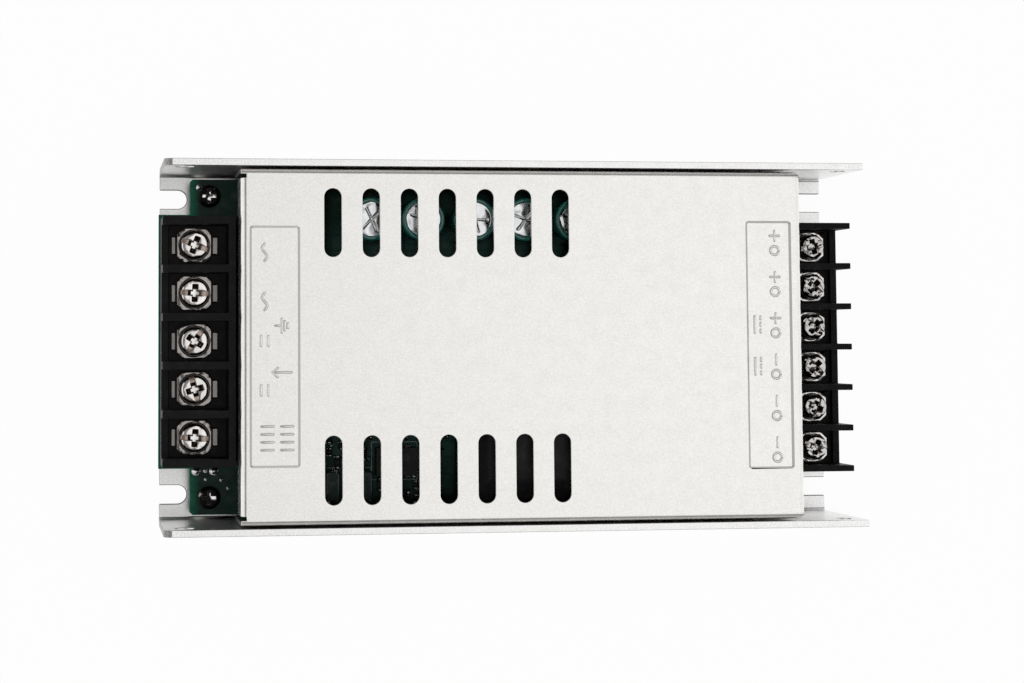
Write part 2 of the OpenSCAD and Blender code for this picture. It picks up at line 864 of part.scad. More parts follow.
module safety_capacitors() {
    color("steelblue") for (y = safety_rows) disc_part([safety_x, y], safety_d, safety_t);
}

// Ring chokes

module ring(sizes) {
    difference() {
        cylinder(h = sizes[2], r = sizes[0]);
        translate([0, 0, -cut]) cylinder(h = sizes[2] + 2 * cut, r = sizes[1]);
    }
}

// A layer of wire round part of a ring core, as a hollow arc centred on +Y
module ring_winding(sizes, arc) {
    out = wire_gap + wire_layer;
    rotate([0, 0, 90 - arc / 2]) rotate_extrude(angle = arc) difference() {
        translate([sizes[1] - out, -out]) square([sizes[0] - sizes[1] + 2 * out, sizes[2] + 2 * out]);
        translate([sizes[1] - wire_gap, -wire_gap])
            square([sizes[0] - sizes[1] + 2 * wire_gap, sizes[2] + 2 * wire_gap]);
    }
}

module filter_choke_core() {
    color("#3a3d3b") on_board(filter_ring_at, ring_lift) ring(filter_ring);
}

module filter_choke_winding() {
    color("peru") on_board(filter_ring_at, ring_lift)
        for (a = [0, 180]) rotate([0, 0, a]) ring_winding(filter_ring, filter_arc);
}

module output_choke_core() {
    color("goldenrod") on_board(output_ring_at, ring_lift) ring(output_ring);
}

module output_choke_winding() {
    color("peru") on_board(output_ring_at, ring_lift)
        rotate([0, 0, -90]) ring_winding(output_ring, output_arc);
}

// Heat bars

function package_x(spacing, k) = (k - (bar_packages - 1) / 2) * spacing;

// The screw places of a bar, on the face that carries its packages
module bar_screw_places(spacing) {
    for (k = [0:bar_packages - 1])
        translate([package_x(spacing, k), -bar_t / 2, package_lift + package_hole_z])
            rotate([90, 0, 0]) children();
}

module heat_bar(at, len, spacing) {
    on_board(at) difference() {
        translate([0, 0, bar_h / 2]) cube([len, bar_t, bar_h], center = true);
        bar_screw_places(spacing) translate([0, 0, -bar_t - cut])
            cylinder(h = bar_t + 2 * cut, d = bar_screw_d + 2 * fit);
    }
}

// Three-lead power packages with their metal tabs against the bar
module power_packages(at, spacing) {
    face = -bar_t / 2;
    on_board(at) difference() {
        for (k = [0:bar_packages - 1]) translate([package_x(spacing, k), face, 0]) {
            translate([0, -tab_t / 2, package_lift + package[2] / 2])
                cube([package[0], tab_t, package[2]], center = true);
            translate([0, -package[1] / 2, package_lift + package_body_h / 2])
                cube([package[0], package[1], package_body_h], center = true);
            leads([for (n = [-1:1]) [n * package_lead_pitch, -package_lead_depth]], package_lift + lap);
        }
        bar_screw_places(spacing) translate([0, 0, -cut])
            cylinder(h = tab_t + 2 * cut, d = bar_screw_d + 4 * fit);
    }
}

module bar_screw() {
    translate([0, 0, tab_t]) difference() {
        pan_head(bar_head_d, bar_head_h, pan_edge);
        cross_recess(bar_head_h, bar_recess);
    }
    translate([0, 0, -bar_t]) cylinder(h = bar_t + tab_t + lap, d = bar_screw_d);
}

module switch_heat_bar() {
    color("silver") heat_bar(switch_bar_at, switch_bar_len, switch_spacing);
}

module switch_transistors() {
    color("#242427") power_packages(switch_bar_at, switch_spacing);
}

module rectifier_heat_bar() {
    color("silver") heat_bar(rectifier_bar_at, rectifier_bar_len, rectifier_spacing);
}

module output_rectifiers() {
    color("#242427") power_packages(rectifier_bar_at, rectifier_spacing);
}

module heat_bar_screws() {
    color("silver") {
        on_board(switch_bar_at) bar_screw_places(switch_spacing) bar_screw();
        on_board(rectifier_bar_at) bar_screw_places(rectifier_spacing) bar_screw();
    }
}

// Transformer: a pair of E cores closed round a bobbin

module across_transformer() {
    on_board(transformer_at, winding_z) rotate([90, 0, 0]) children();
}

module transformer_core() {
    color("#2d2e30") across_transformer() {
        difference() {
            cube([core_len, core_t, core_w], center = true);
            cube([window_len, core_t + 2 * cut, window_w], center = true);
        }
        cylinder(h = window_w + 2 * lap, d = core_post_d, center = true);
    }
}

module transformer_bobbin() {
    flange_x = window_len - 2 * bobbin_gap;
    color("#202022") across_transformer() difference() {
        union() {
            cylinder(h = bobbin_len, d = bobbin_tube_d, center = true);
            for (z = [-bobbin_len / 2, bobbin_len / 2 - bobbin_flange_t])
                translate([-flange_x / 2, -winding_z, z])
                    cube([flange_x, winding_z + winding_d / 2 + bobbin_rim, bobbin_flange_t]);
        }
        cylinder(h = bobbin_len + 2 * cut, d = bobbin_bore_d, center = true);
    }
}

module transformer_winding() {
    len = bobbin_len - 2 * bobbin_flange_t - 2 * bobbin_gap;
    color("#18181a") across_transformer() difference() {
        cylinder(h = len, d = winding_d, center = true);
        cylinder(h = len + 2 * cut, d = bobbin_tube_d + 2 * bobbin_gap, center = true);
    }
}

// Small parts

module chip(at, size) {
    pin_h = chip_stand + size[2] / 2;
    on_board(at, pin_h) cube(size, center = true);
    on_board(at, pin_h / 2) for (side = [-1, 1], k = [-0.5, 0.5])
        translate([k * chip_pin_share * size[0], side * (size[1] + chip_pin[1]) / 2, 0])
            cube([chip_pin[0], chip_pin[1], pin_h], center = true);
}

module control_chip() {
    color("#242427") chip(control_at, control_size);
}

module optocouplers() {
    color("ghostwhite") for (k = [-0.5, 0.5]) chip([opto_at[0] + k * opto_pitch, opto_at[1]], opto_size);
}

module film_capacitors() {
    color("#1f3d2b") for (k = [-0.5, 0.5]) on_board([film_cap_at[0] + k * film_cap_pitch, film_cap_at[1]])
        linear_extrude(film_cap_size[2]) round_rect(film_cap_size[0], film_cap_size[1], film_cap_r);
}

// Axial resistors lie on the board with their leads bent down at each end
module power_resistors() {
    color("tan") for (k = [-0.5, 0.5]) on_board([resistor_at[0], resistor_at[1] + k * resistor_pitch]) {
        translate([0, 0, resistor_d / 2]) rotate([0, 90, 0]) {
            cylinder(h = resistor_len, d = resistor_d, center = true);
            cylinder(h = 2 * resistor_reach, d = lead_d, center = true);
        }
        for (s = [-1, 1]) translate([s * resistor_reach, 0, 0])
            cylinder(h = (resistor_d + lead_d) / 2, d = lead_d);
    }
}

base_tray();
insulation_film();
circuit_board();
board_spacers();
board_screws();
top_cover();
cover_screws();
input_terminal_body();
input_contacts();
input_clamp(0);  // input_clamp_1
input_clamp(1);  // input_clamp_2
input_clamp(2);  // input_clamp_3
input_clamp(3);  // input_clamp_4
input_clamp(4);  // input_clamp_5
input_screw(0);  // input_screw_1
input_screw(1);  // input_screw_2
input_screw(2);  // input_screw_3
input_screw(3);  // input_screw_4
input_screw(4);  // input_screw_5
output_terminal_body();
output_contacts();
output_clamp(0);  // output_clamp_1
output_clamp(1);  // output_clamp_2
output_clamp(2);  // output_clamp_3
output_clamp(3);  // output_clamp_4
output_clamp(4);  // output_clamp_5
output_clamp(5);  // output_clamp_6
output_screw(0);  // output_screw_1
output_screw(1);  // output_screw_2
output_screw(2);  // output_screw_3
output_screw(3);  // output_screw_4
output_screw(4);  // output_screw_5
output_screw(5);  // output_screw_6
fuse();
varistor();
thermistor();
filter_capacitor();
filter_choke_core();
filter_choke_winding();
bridge_rectifier();
bulk_capacitors();
safety_capacitors();
switch_heat_bar();
switch_transistors();
transformer_core();
transformer_bobbin();
transformer_winding();
rectifier_heat_bar();
output_rectifiers();
heat_bar_screws();
output_choke_core();
output_choke_winding();
output_capacitors();
control_chip();
optocouplers();
film_capacitors();
power_resistors();
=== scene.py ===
import json
import math
import random

import bpy
import bmesh
from mathutils import Matrix, Vector, noise


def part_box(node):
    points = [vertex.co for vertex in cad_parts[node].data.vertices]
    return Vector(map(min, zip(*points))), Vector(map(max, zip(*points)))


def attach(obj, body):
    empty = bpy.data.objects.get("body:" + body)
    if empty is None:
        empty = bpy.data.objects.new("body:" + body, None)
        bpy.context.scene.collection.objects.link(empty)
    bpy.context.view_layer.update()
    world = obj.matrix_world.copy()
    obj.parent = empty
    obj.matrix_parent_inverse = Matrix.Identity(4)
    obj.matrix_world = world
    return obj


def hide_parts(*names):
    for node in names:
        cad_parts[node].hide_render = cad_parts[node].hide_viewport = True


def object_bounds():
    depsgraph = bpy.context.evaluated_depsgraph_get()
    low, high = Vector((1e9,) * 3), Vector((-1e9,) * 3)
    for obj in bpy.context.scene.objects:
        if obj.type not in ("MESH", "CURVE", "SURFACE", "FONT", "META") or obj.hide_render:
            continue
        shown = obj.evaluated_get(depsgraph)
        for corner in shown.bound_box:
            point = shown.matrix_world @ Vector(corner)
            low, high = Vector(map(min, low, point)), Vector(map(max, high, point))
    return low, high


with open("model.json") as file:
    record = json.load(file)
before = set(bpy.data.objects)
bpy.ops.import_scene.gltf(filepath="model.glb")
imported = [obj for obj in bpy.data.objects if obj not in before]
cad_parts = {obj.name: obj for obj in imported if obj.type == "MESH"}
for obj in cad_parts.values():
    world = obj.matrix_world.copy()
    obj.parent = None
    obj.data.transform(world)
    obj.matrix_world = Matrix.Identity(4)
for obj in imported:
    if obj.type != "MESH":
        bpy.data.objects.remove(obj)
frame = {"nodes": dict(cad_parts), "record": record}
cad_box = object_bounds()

MM = 0.001
CUT_DIST = 1e-7
BODY_OF = {
    node: body
    for body, nodes in frame["record"]["behaviour"]["bodies"].items()
    for node in nodes
}
POLES = {"input": 5, "output": 6}
BOARD_STEP_X = -74.1


# Node trees

def feed(tree, socket, value):
    """Sets a socket to a value, or links it from another node's socket."""
    if isinstance(value, bpy.types.NodeSocket):
        tree.links.new(value, socket)
    else:
        socket.default_value = value


def add(tree, kind, settings=None, **inputs):
    """A node with its settings, and its named inputs set or linked."""
    node = tree.nodes.new(kind)
    for key, value in (settings or {}).items():
        setattr(node, key, value)
    for label, value in inputs.items():
        feed(tree, node.inputs[label.replace("_", " ")], value)
    return node


def calc(tree, operation, a, b=0.0, clamp=False):
    """One sum on one or two values."""
    node = add(tree, "ShaderNodeMath", {"operation": operation, "use_clamp": clamp})
    feed(tree, node.inputs[0], a)
    feed(tree, node.inputs[1], b)
    return node.outputs[0]


def spread(tree, value, low, high, to_low=0.0, to_high=1.0):
    """Maps the range low to high of a value onto another range, clamped."""
    node = add(tree, "ShaderNodeMapRange", {"clamp": True}, Value=value, From_Min=low, From_Max=high,
               To_Min=to_low, To_Max=to_high)
    return node.outputs["Result"]


# Places of a Mix node's two colour inputs and of its colour output
MIX_COLORS = (6, 7)
MIX_RESULT = 2


def blend(tree, mask, base, top):
    """Two colours mixed by a mask."""
    node = add(tree, "ShaderNodeMix", {"data_type": "RGBA"})
    feed(tree, node.inputs[0], mask)
    for i, color in zip(MIX_COLORS, (base, top)):
        feed(tree, node.inputs[i], color if isinstance(color, bpy.types.NodeSocket) else (*color, 1.0))
    return node.outputs[MIX_RESULT]


def surface_noise(tree, scale, stretch=(1, 1, 1), detail=3.0):
    """Noise over the piece's own coordinates, drawn out along an axis by a small factor there."""
    where = add(tree, "ShaderNodeTexCoord").outputs["Object"]
    place = add(tree, "ShaderNodeMapping", Vector=where, Scale=stretch)
    node = add(tree, "ShaderNodeTexNoise", Vector=place.outputs[0], Scale=scale, Detail=detail)
    return node.outputs["Fac"]


def new_group(name, inputs, outputs):
    """An empty effect group with named sockets: its tree, its inputs and its outputs."""
    tree = bpy.data.node_groups.new(name, "ShaderNodeTree")
    for label, value in inputs.items():
        socket = tree.interface.new_socket(label, in_out="INPUT", socket_type="NodeSocketFloat")
        socket.default_value = value
    for label in outputs:
        tree.interface.new_socket(label, in_out="OUTPUT", socket_type="NodeSocketFloat")
    return tree, add(tree, "NodeGroupInput").outputs, add(tree, "NodeGroupOutput").inputs


def rolled_sheet_group():
    """Fine lines along the rolling direction, soft clouding, and the grain of the sheet's skin."""
    scales = {"Line Scale": 1400.0, "Cloud Scale": 330.0, "Grain Scale": 2400.0}
    tree, have, give = new_group("rolled_sheet", scales, ["Lines", "Clouds", "Grain"])
    lines = surface_noise(tree, have["Line Scale"], (0.03, 1, 1), 4.0)
    clouds = surface_noise(tree, have["Cloud Scale"], detail=6.0)
    grain = surface_noise(tree, have["Grain Scale"], detail=3.0)
    for label, value in (("Lines", lines), ("Clouds", clouds), ("Grain", grain)):
        feed(tree, give[label], spread(tree, value, 0.3, 0.7))
    return tree


def edge_rub_group():
    """Rubbed edges: where the surface turns within a small radius, broken up by noise."""
    tree, have, give = new_group("edge_rub", {"Width": 0.3 * MM, "Break Up": 0.5}, ["Edge"])
    round_normal = add(tree, "ShaderNodeBevel", {"samples": 4}, Radius=have["Width"]).outputs[0]
    true_normal = add(tree, "ShaderNodeNewGeometry").outputs["Normal"]
    dot = add(tree, "ShaderNodeVectorMath", {"operation": "DOT_PRODUCT"})
    feed(tree, dot.inputs[0], round_normal)
    feed(tree, dot.inputs[1], true_normal)
    turn = spread(tree, dot.outputs["Value"], 0.995, 0.85)
    patch = spread(tree, surface_noise(tree, 600.0), 0.35, 0.65)
    kept = calc(tree, "SUBTRACT", 1.0, calc(tree, "MULTIPLY", have["Break Up"], patch))
    feed(tree, give["Edge"], calc(tree, "MULTIPLY", turn, kept, clamp=True))
    return tree


def scratch_group():
    """Short fine scratches that run mostly one way."""
    tree, have, give = new_group("fine_scratches", {"Amount": 0.5, "Turn": 0.3}, ["Scratch"])
    where = add(tree, "ShaderNodeTexCoord").outputs["Object"]
    turn = add(tree, "ShaderNodeCombineXYZ", Z=have["Turn"]).outputs[0]
    place = add(tree, "ShaderNodeMapping", Vector=where, Scale=(0.05, 1, 1), Rotation=turn)
    thin = add(tree, "ShaderNodeTexNoise", Vector=place.outputs[0], Scale=1500.0, Detail=2.0).outputs["Fac"]
    patch = spread(tree, surface_noise(tree, 120.0), 0.5, 0.66)
    lines = calc(tree, "MULTIPLY", spread(tree, thin, 0.63, 0.72), patch)
    feed(tree, give["Scratch"], calc(tree, "MULTIPLY", lines, have["Amount"], clamp=True))
    return tree


def dust_group():
    """Dust that lies on what faces up."""
    tree, have, give = new_group("dust", {"Amount": 0.3, "Scale": 500.0}, ["Dust"])
    normal = add(tree, "ShaderNodeNewGeometry").outputs["Normal"]
    up = spread(tree, add(tree, "ShaderNodeSeparateXYZ", Vector=normal).outputs["Z"], 0.5, 0.95)
    specks = spread(tree, surface_noise(tree, have["Scale"], detail=6.0), 0.5, 0.75)
    feed(tree, give["Dust"], calc(tree, "MULTIPLY", calc(tree, "MULTIPLY", up, specks), have["Amount"]))
    return tree


def moulded_group():
    """The fine skin of a moulded, dipped or plated surface, and its slower flow and waves."""
    scales = {"Scale": 2500.0, "Wave Scale": 350.0}
    tree, have, give = new_group("moulded_skin", scales, ["Skin", "Flow", "Wave"])
    feed(tree, give["Skin"], surface_noise(tree, have["Scale"], detail=2.0))
    feed(tree, give["Flow"], spread(tree, surface_noise(tree, 130.0, detail=3.0), 0.35, 0.65))
    feed(tree, give["Wave"], surface_noise(tree, have["Wave Scale"], detail=1.0))
    return tree


DUST_COLOR = (0.28, 0.27, 0.25)
ROLLED = rolled_sheet_group()
EDGE_RUB = edge_rub_group()
SCRATCHES = scratch_group()
DUST = dust_group()
MOULDED = moulded_group()


# Finishes

class Finish:
    """A material on one Principled shader, with effects placed in it."""

    def __init__(self, name, color, roughness, metallic=0.0, specular=0.5, coat=0.0):
        self.material = bpy.data.materials.new(name)
        self.material.use_nodes = True
        self.tree = self.material.node_tree
        self.shader = self.tree.nodes["Principled BSDF"]
        self.set("Base Color", (*color, 1.0))
        self.set("Roughness", roughness)
        self.set("Metallic", metallic)
        self.set("Specular IOR Level", specular)
        self.set("Coat Weight", coat)
        self.material.diffuse_color = (*color, 1.0)

    def set(self, socket, value):
        feed(self.tree, self.shader.inputs[socket], value)

    def effect(self, group, **inputs):
        node = add(self.tree, "ShaderNodeGroup", {"node_tree": group})
        for label, value in inputs.items():
            feed(self.tree, node.inputs[label.replace("_", " ")], value)
        return node.outputs

    def relief(self, height, depth, strength=1.0):
        bump = add(self.tree, "ShaderNodeBump", Height=height, Distance=depth * MM, Strength=strength)
        self.set("Normal", bump.outputs[0])


def shade(color, factor):
    return tuple(min(1.0, c * factor) for c in color)


def sheet_metal(name, color, roughness, rub=0.5, clouding=0.025, grain=0.03, relief=0.002):
    """Rolled sheet: lines along its length, clouding, grain, fine scratches and brighter rubbed edges."""
    finish = Finish(name, color, roughness, metallic=1.0)
    tree = finish.tree
    rolled = finish.effect(ROLLED)
    scratch = finish.effect(SCRATCHES, Amount=0.35)["Scratch"]
    edge = finish.effect(EDGE_RUB, Width=0.25 * MM)["Edge"]
    uneven = clouding + grain
    mottle = calc(tree, "ADD", calc(tree, "MULTIPLY", rolled["Clouds"], clouding / uneven),
                  calc(tree, "MULTIPLY", rolled["Grain"], grain / uneven))
    grained = blend(tree, mottle, shade(color, 1 - uneven), shade(color, 1 + uneven))
    scored = blend(tree, scratch, grained, shade(color, 0.8))
    finish.set("Base Color", blend(tree, calc(tree, "MULTIPLY", edge, rub), scored, shade(color, 1.12)))
    finish.set("Roughness", spread(tree, rolled["Clouds"], 0, 1, roughness - 0.03, roughness + 0.03))
    skin_of_sheet = calc(tree, "ADD", calc(tree, "MULTIPLY", rolled["Lines"], 0.1), rolled["Grain"])
    finish.relief(calc(tree, "SUBTRACT", skin_of_sheet, scratch), relief, 0.5)
    return finish.material


def moulded_plastic(name, color, roughness, specular=0.3, rub=0.35, skin=2500.0, dusty=0.15):
    """Moulded plastic: fine skin, flow shading, paler edges and a little dust."""
    finish = Finish(name, color, roughness, specular=specular)
    tree = finish.tree
    skin_of = finish.effect(MOULDED, Scale=skin)
    edge = finish.effect(EDGE_RUB, Width=0.2 * MM, Break_Up=0.7)["Edge"]
    dust = finish.effect(DUST, Amount=dusty)["Dust"]
    flowed = blend(tree, skin_of["Flow"], shade(color, 0.85), shade(color, 1.15))
    rubbed = blend(tree, calc(tree, "MULTIPLY", edge, rub), flowed, shade(color, 2.6))
    finish.set("Base Color", blend(tree, dust, rubbed, DUST_COLOR))
    finish.set("Roughness", spread(tree, skin_of["Flow"], 0, 1, roughness - 0.06, roughness + 0.08))
    finish.relief(skin_of["Skin"], 0.012, 0.35)
    return finish.material


def bright_metal(name, color, roughness, rub=0.3, wave=0.1, wave_scale=350.0, rubbed=None):
    """Plated or turned metal: near mirror, slightly wavy, with handling marks and rubbed edges; an edge
    colour, where given, paints a highlight on those edges.
    """
    finish = Finish(name, color, roughness, metallic=1.0)
    tree = finish.tree
    skin = finish.effect(MOULDED, Scale=900.0, Wave_Scale=wave_scale)
    scratch = finish.effect(SCRATCHES, Amount=0.8, Turn=0.9)["Scratch"]
    edge = finish.effect(EDGE_RUB, Width=0.15 * MM, Break_Up=0.4)["Edge"]
    toned = blend(tree, skin["Flow"], shade(color, 0.88), shade(color, 1.04))
    marked = blend(tree, scratch, toned, shade(color, 0.7))
    worn = rubbed or shade(color, 1.2)
    finish.set("Base Color", blend(tree, calc(tree, "MULTIPLY", edge, rub), marked, worn))
    finish.set("Roughness", spread(tree, skin["Flow"], 0, 1, roughness - 0.04, roughness + 0.08))
    fine = calc(tree, "MULTIPLY", calc(tree, "SUBTRACT", skin["Skin"], scratch), 0.02)
    finish.relief(calc(tree, "ADD", skin["Wave"], fine), wave)
    return finish.material


def worn_metal(name, color, bare, roughness, scale, kept):
    """Blackened metal worn through to bright patches where noise passes the kept level."""
    finish = Finish(name, color, roughness, metallic=1.0)
    tree = finish.tree
    patch = spread(tree, surface_noise(tree, scale, detail=4.0), kept, kept + 0.05)
    skin = finish.effect(MOULDED, Scale=1500.0)
    edge = finish.effect(EDGE_RUB, Width=0.2 * MM, Break_Up=0.8)["Edge"]
    worn = calc(tree, "MAXIMUM", patch, calc(tree, "MULTIPLY", edge, 0.35))
    finish.set("Base Color", blend(tree, worn, color, bare))
    finish.set("Roughness", spread(tree, worn, 0, 1, roughness + 0.1, roughness))
    finish.relief(calc(tree, "ADD", skin["Wave"], calc(tree, "MULTIPLY", patch, 0.1)), 0.15)
    return finish.material


def dipped_coat(name, color, roughness, coat=0.4, puckered=0.03):
    """A dipped or shrunk coat: glossy, puckered, with flow marks and a trace of dust."""
    finish = Finish(name, color, roughness, coat=coat)
    tree = finish.tree
    skin = finish.effect(MOULDED, Scale=700.0)
    dust = finish.effect(DUST, Amount=0.12)["Dust"]
    flowed = blend(tree, skin["Flow"], shade(color, 0.8), shade(color, 1.2))
    finish.set("Base Color", blend(tree, dust, flowed, (0.3, 0.29, 0.27)))
    finish.set("Roughness", spread(tree, skin["Flow"], 0, 1, roughness - 0.05, roughness + 0.1))
    finish.relief(skin["Skin"], puckered, 0.3)
    return finish.material


def masked_board(name, border, shaded_field, inner, low, high):
    """Solder mask: green from the input end to just past the board's step; beyond it painted shade for the
    shadow of the cover and walls, darkest over the outer strip and paler inside; with track gaps."""
    finish = Finish(name, border, 0.35, specular=0.1)
    tree = finish.tree
    where = add(tree, "ShaderNodeTexCoord").outputs["Object"]
    spot = add(tree, "ShaderNodeSeparateXYZ", Vector=where).outputs
    insets = [calc(tree, "MINIMUM", calc(tree, "SUBTRACT", spot[axis], low[axis]),
                   calc(tree, "SUBTRACT", high[axis], spot[axis])) for axis in (0, 1)]
    inset = calc(tree, "MINIMUM", *insets)
    pours = add(tree, "ShaderNodeTexBrick", {"offset": 0.37, "squash": 1.6}, Vector=where, Scale=120.0,
                Mortar_Size=0.035, Mortar_Smooth=0.1, Brick_Width=1.3, Row_Height=0.45).outputs["Fac"]
    skin = finish.effect(MOULDED, Scale=1800.0)
    dust = finish.effect(DUST, Amount=0.05)["Dust"]
    # Painted shade beyond the board's step, darkest over the outer strip
    beyond = calc(tree, "SUBTRACT", spot[0], BOARD_STEP_X * MM)
    shaded_outer = blend(tree, spread(tree, beyond, 0.4 * MM, 2.2 * MM), border, shaded_field)
    mask = blend(tree, spread(tree, inset, 9 * MM, 14 * MM), shaded_outer, inner)
    tracks = blend(tree, calc(tree, "MULTIPLY", pours, 0.3), mask, shade(shaded_field, 0.5))
    flowed = blend(tree, calc(tree, "MULTIPLY", skin["Flow"], 0.3), tracks, shade(shaded_field, 1.3))
    finish.set("Base Color", blend(tree, dust, flowed, (0.2, 0.22, 0.2)))
    finish.set("Roughness", spread(tree, skin["Flow"], 0, 1, 0.3, 0.45))
    finish.relief(calc(tree, "SUBTRACT", skin["Skin"], pours), 0.02, 0.4)
    return finish.material


def wound_tape(name, color):
    """Tape wound round a coil: overlapping edges across its width."""
    finish = Finish(name, color, 0.35, specular=0.4)
    tree = finish.tree
    where = add(tree, "ShaderNodeTexCoord").outputs["Object"]
    wraps = add(tree, "ShaderNodeTexWave", {"bands_direction": "Y", "wave_profile": "SAW"}, Vector=where,
                Scale=70.0, Distortion=0.6, Detail=1.0).outputs["Fac"]
    skin = finish.effect(MOULDED, Scale=900.0)
    finish.set("Base Color", blend(tree, wraps, shade(color, 0.75), shade(color, 1.3)))
    finish.set("Roughness", spread(tree, skin["Flow"], 0, 1, 0.28, 0.42))
    finish.relief(calc(tree, "ADD", wraps, skin["Skin"]), 0.05, 0.4)
    return finish.material


def enamel_wire(name, color):
    """Enamelled copper wire."""
    finish = Finish(name, color, 0.28, metallic=0.8, coat=0.5)
    tree = finish.tree
    skin = finish.effect(MOULDED, Scale=600.0)
    finish.set("Base Color", blend(tree, skin["Flow"], shade(color, 0.75), shade(color, 1.1)))
    finish.set("Roughness", spread(tree, skin["Flow"], 0, 1, 0.22, 0.36))
    finish.relief(skin["Skin"], 0.02, 0.3)
    return finish.material


TRAY = sheet_metal("tray_sheet", (0.955, 0.94, 0.925), 0.3, rub=0.6, grain=0.12, clouding=0.07,
                   relief=0.008)
COVER = sheet_metal("cover_sheet", (0.928, 0.902, 0.876), 0.24, rub=0.4, clouding=0.045, grain=0.06,
                    relief=0.005)
# Painted shade: dark copies of the tray's aluminium for the notch sides and the rounded wall ends
NOTCH_SIDE_SHADE = sheet_metal("tray_notch_painted_shade", (0.13, 0.125, 0.12), 0.4, rub=0.2)
WALL_TOP = sheet_metal("tray_wall_top", (0.97, 0.955, 0.94), 0.15, rub=0.3, grain=0.14,
                       clouding=0.06, relief=0.012)
TRAY_END_SHADE = sheet_metal("tray_end_painted_shade", (0.36, 0.35, 0.345), 0.4, rub=0.2, grain=0.25,
                       clouding=0.2, relief=0.01)
# Painted shade: a darker copy of the cover sheet for the panel slopes and mark sides that face along the case
COVER_SLOPE_SHADE = sheet_metal("cover_slope_painted_shade", (0.5, 0.49, 0.48), 0.26)
BAR = sheet_metal("bar_aluminium", (0.62, 0.62, 0.62), 0.4)
BLOCK = moulded_plastic("block_plastic", (0.0064, 0.0062, 0.0064), 0.5, specular=0.12, dusty=0.02)
# Painted shade: a darker copy of the block plastic for the output block
BLOCK_SHADED = moulded_plastic("block_plastic_painted_shade", (0.0042, 0.0042, 0.0046), 0.5, specular=0.1, dusty=0.02)
NICKEL = bright_metal("nickel_head", (0.9, 0.87, 0.84), 0.1, wave=0.25, wave_scale=450.0)
# Painted shade: the output heads' nickel is a darker copy of the head nickel
WAVY_NICKEL_SHADE = bright_metal("wavy_nickel_painted_shade", (0.68, 0.65, 0.63), 0.1, wave=1.1, wave_scale=500.0)
# Painted shade: darker copies of the head nickel for the slot floor, the recess, the head's side and the
# clamp plates' dishes
SLOT_NICKEL_SHADE = bright_metal("slot_nickel_painted_shade", (0.46, 0.37, 0.32), 0.26)
RECESS_NICKEL_SHADE = bright_metal("recess_nickel_painted_shade", (0.07, 0.06, 0.056), 0.16, rub=0.5, wave=0.4, wave_scale=900.0)
SIDE_NICKEL_SHADE = bright_metal("side_nickel_painted_shade", (0.05, 0.046, 0.044), 0.2, rub=0.0)
# Painted shade and highlight: the plates are darker copies of the head nickel with rubbed rims painted bright
# as highlight; the output rims are a bright copy
PLATE_NICKEL_SHADE_HIGHLIGHT = bright_metal("plate_nickel_shade_and_highlight", (0.4, 0.37, 0.35), 0.14, rub=0.7, wave=0.5, wave_scale=420.0,
                            rubbed=(0.92, 0.9, 0.87))
PLATE_NICKEL_DARK_SHADE = bright_metal("plate_nickel_painted_shade", (0.05, 0.046, 0.044), 0.14, rub=0.3, wave=0.5, wave_scale=420.0)
RIM_NICKEL_HIGHLIGHT = bright_metal("rim_nickel_painted_highlight", (0.8, 0.77, 0.74), 0.14, rub=0.7, wave=0.3, wave_scale=420.0)
# Painted highlight: the tinned brass's rubbed edges are painted bright, partly as wear; painted shade: the
# necks are a dark copy of the brass
TIN = bright_metal("tinned_brass", (0.3, 0.285, 0.27), 0.3, rub=0.9, rubbed=(0.75, 0.73, 0.7))
NECK_BRASS_SHADE = bright_metal("neck_brass_painted_shade", (0.03, 0.027, 0.023), 0.35, rub=0.1)
SOLDER = bright_metal("solder", (0.86, 0.86, 0.87), 0.2)
DARK_STEEL = worn_metal("black_steel", (0.011, 0.01, 0.01), (0.4, 0.37, 0.35), 0.35, 420.0, 0.64)
# Painted glints: the bright patches in the board screws' recesses are partly wear, partly painted glints
WORN_RECESS_GLINTS = worn_metal("worn_recess_painted_glints", (0.012, 0.011, 0.011), (0.95, 0.94, 0.92), 0.2, 620.0, 0.5)
SPACER = bright_metal("spacer_steel", (0.55, 0.54, 0.5), 0.3)
LID = bright_metal("can_lid", (0.9, 0.91, 0.92), 0.2, wave=0.2)
# Painted shade: the dark field colour and the paler inner colour stand for the shadow over the board beyond
# its green end
BOARD = masked_board("board_mask", (0.005, 0.08, 0.042), (0.006, 0.015, 0.012), (0.012, 0.03, 0.025),
                     *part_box("circuit_board"))
FILM = moulded_plastic("insulating_film", (0.015, 0.016, 0.018), 0.35)
SLEEVE = dipped_coat("can_sleeve", (0.006, 0.07, 0.06), 0.12, coat=1.0, puckered=0.4)
SLEEVE_STRIPE = dipped_coat("can_stripe", (0.09, 0.16, 0.15), 0.3, coat=0.6)
FERRITE = moulded_plastic("ferrite", (0.0075, 0.007, 0.008), 0.55, skin=1500.0, dusty=0.04)
RING_PAINT = dipped_coat("ring_paint", (0.5, 0.33, 0.05), 0.4)
RING_GREY = dipped_coat("ring_grey", (0.045, 0.05, 0.047), 0.45)
WIRE = enamel_wire("enamel_wire", (0.45, 0.16, 0.05))
TAPE = wound_tape("coil_tape", (0.0075, 0.007, 0.008))
JACKET = moulded_plastic("jacket_tape", (0.006, 0.0055, 0.0065), 0.5, specular=0.2, dusty=0.03)
PRINT = moulded_plastic("board_print", (0.15, 0.17, 0.16), 0.6, rub=0.0)
BOBBIN = moulded_plastic("bobbin_plastic", (0.006, 0.006, 0.0065), 0.45, dusty=0.04)
COAT_BLUE = dipped_coat("blue_coat", (0.02, 0.09, 0.35), 0.3)
COAT_DARK = dipped_coat("dark_coat", (0.015, 0.028, 0.02), 0.4)
COAT_GREEN = dipped_coat("green_coat", (0.005, 0.014, 0.012), 0.25, coat=0.8)
BOX_YELLOW = moulded_plastic("yellow_case", (0.55, 0.42, 0.08), 0.4)
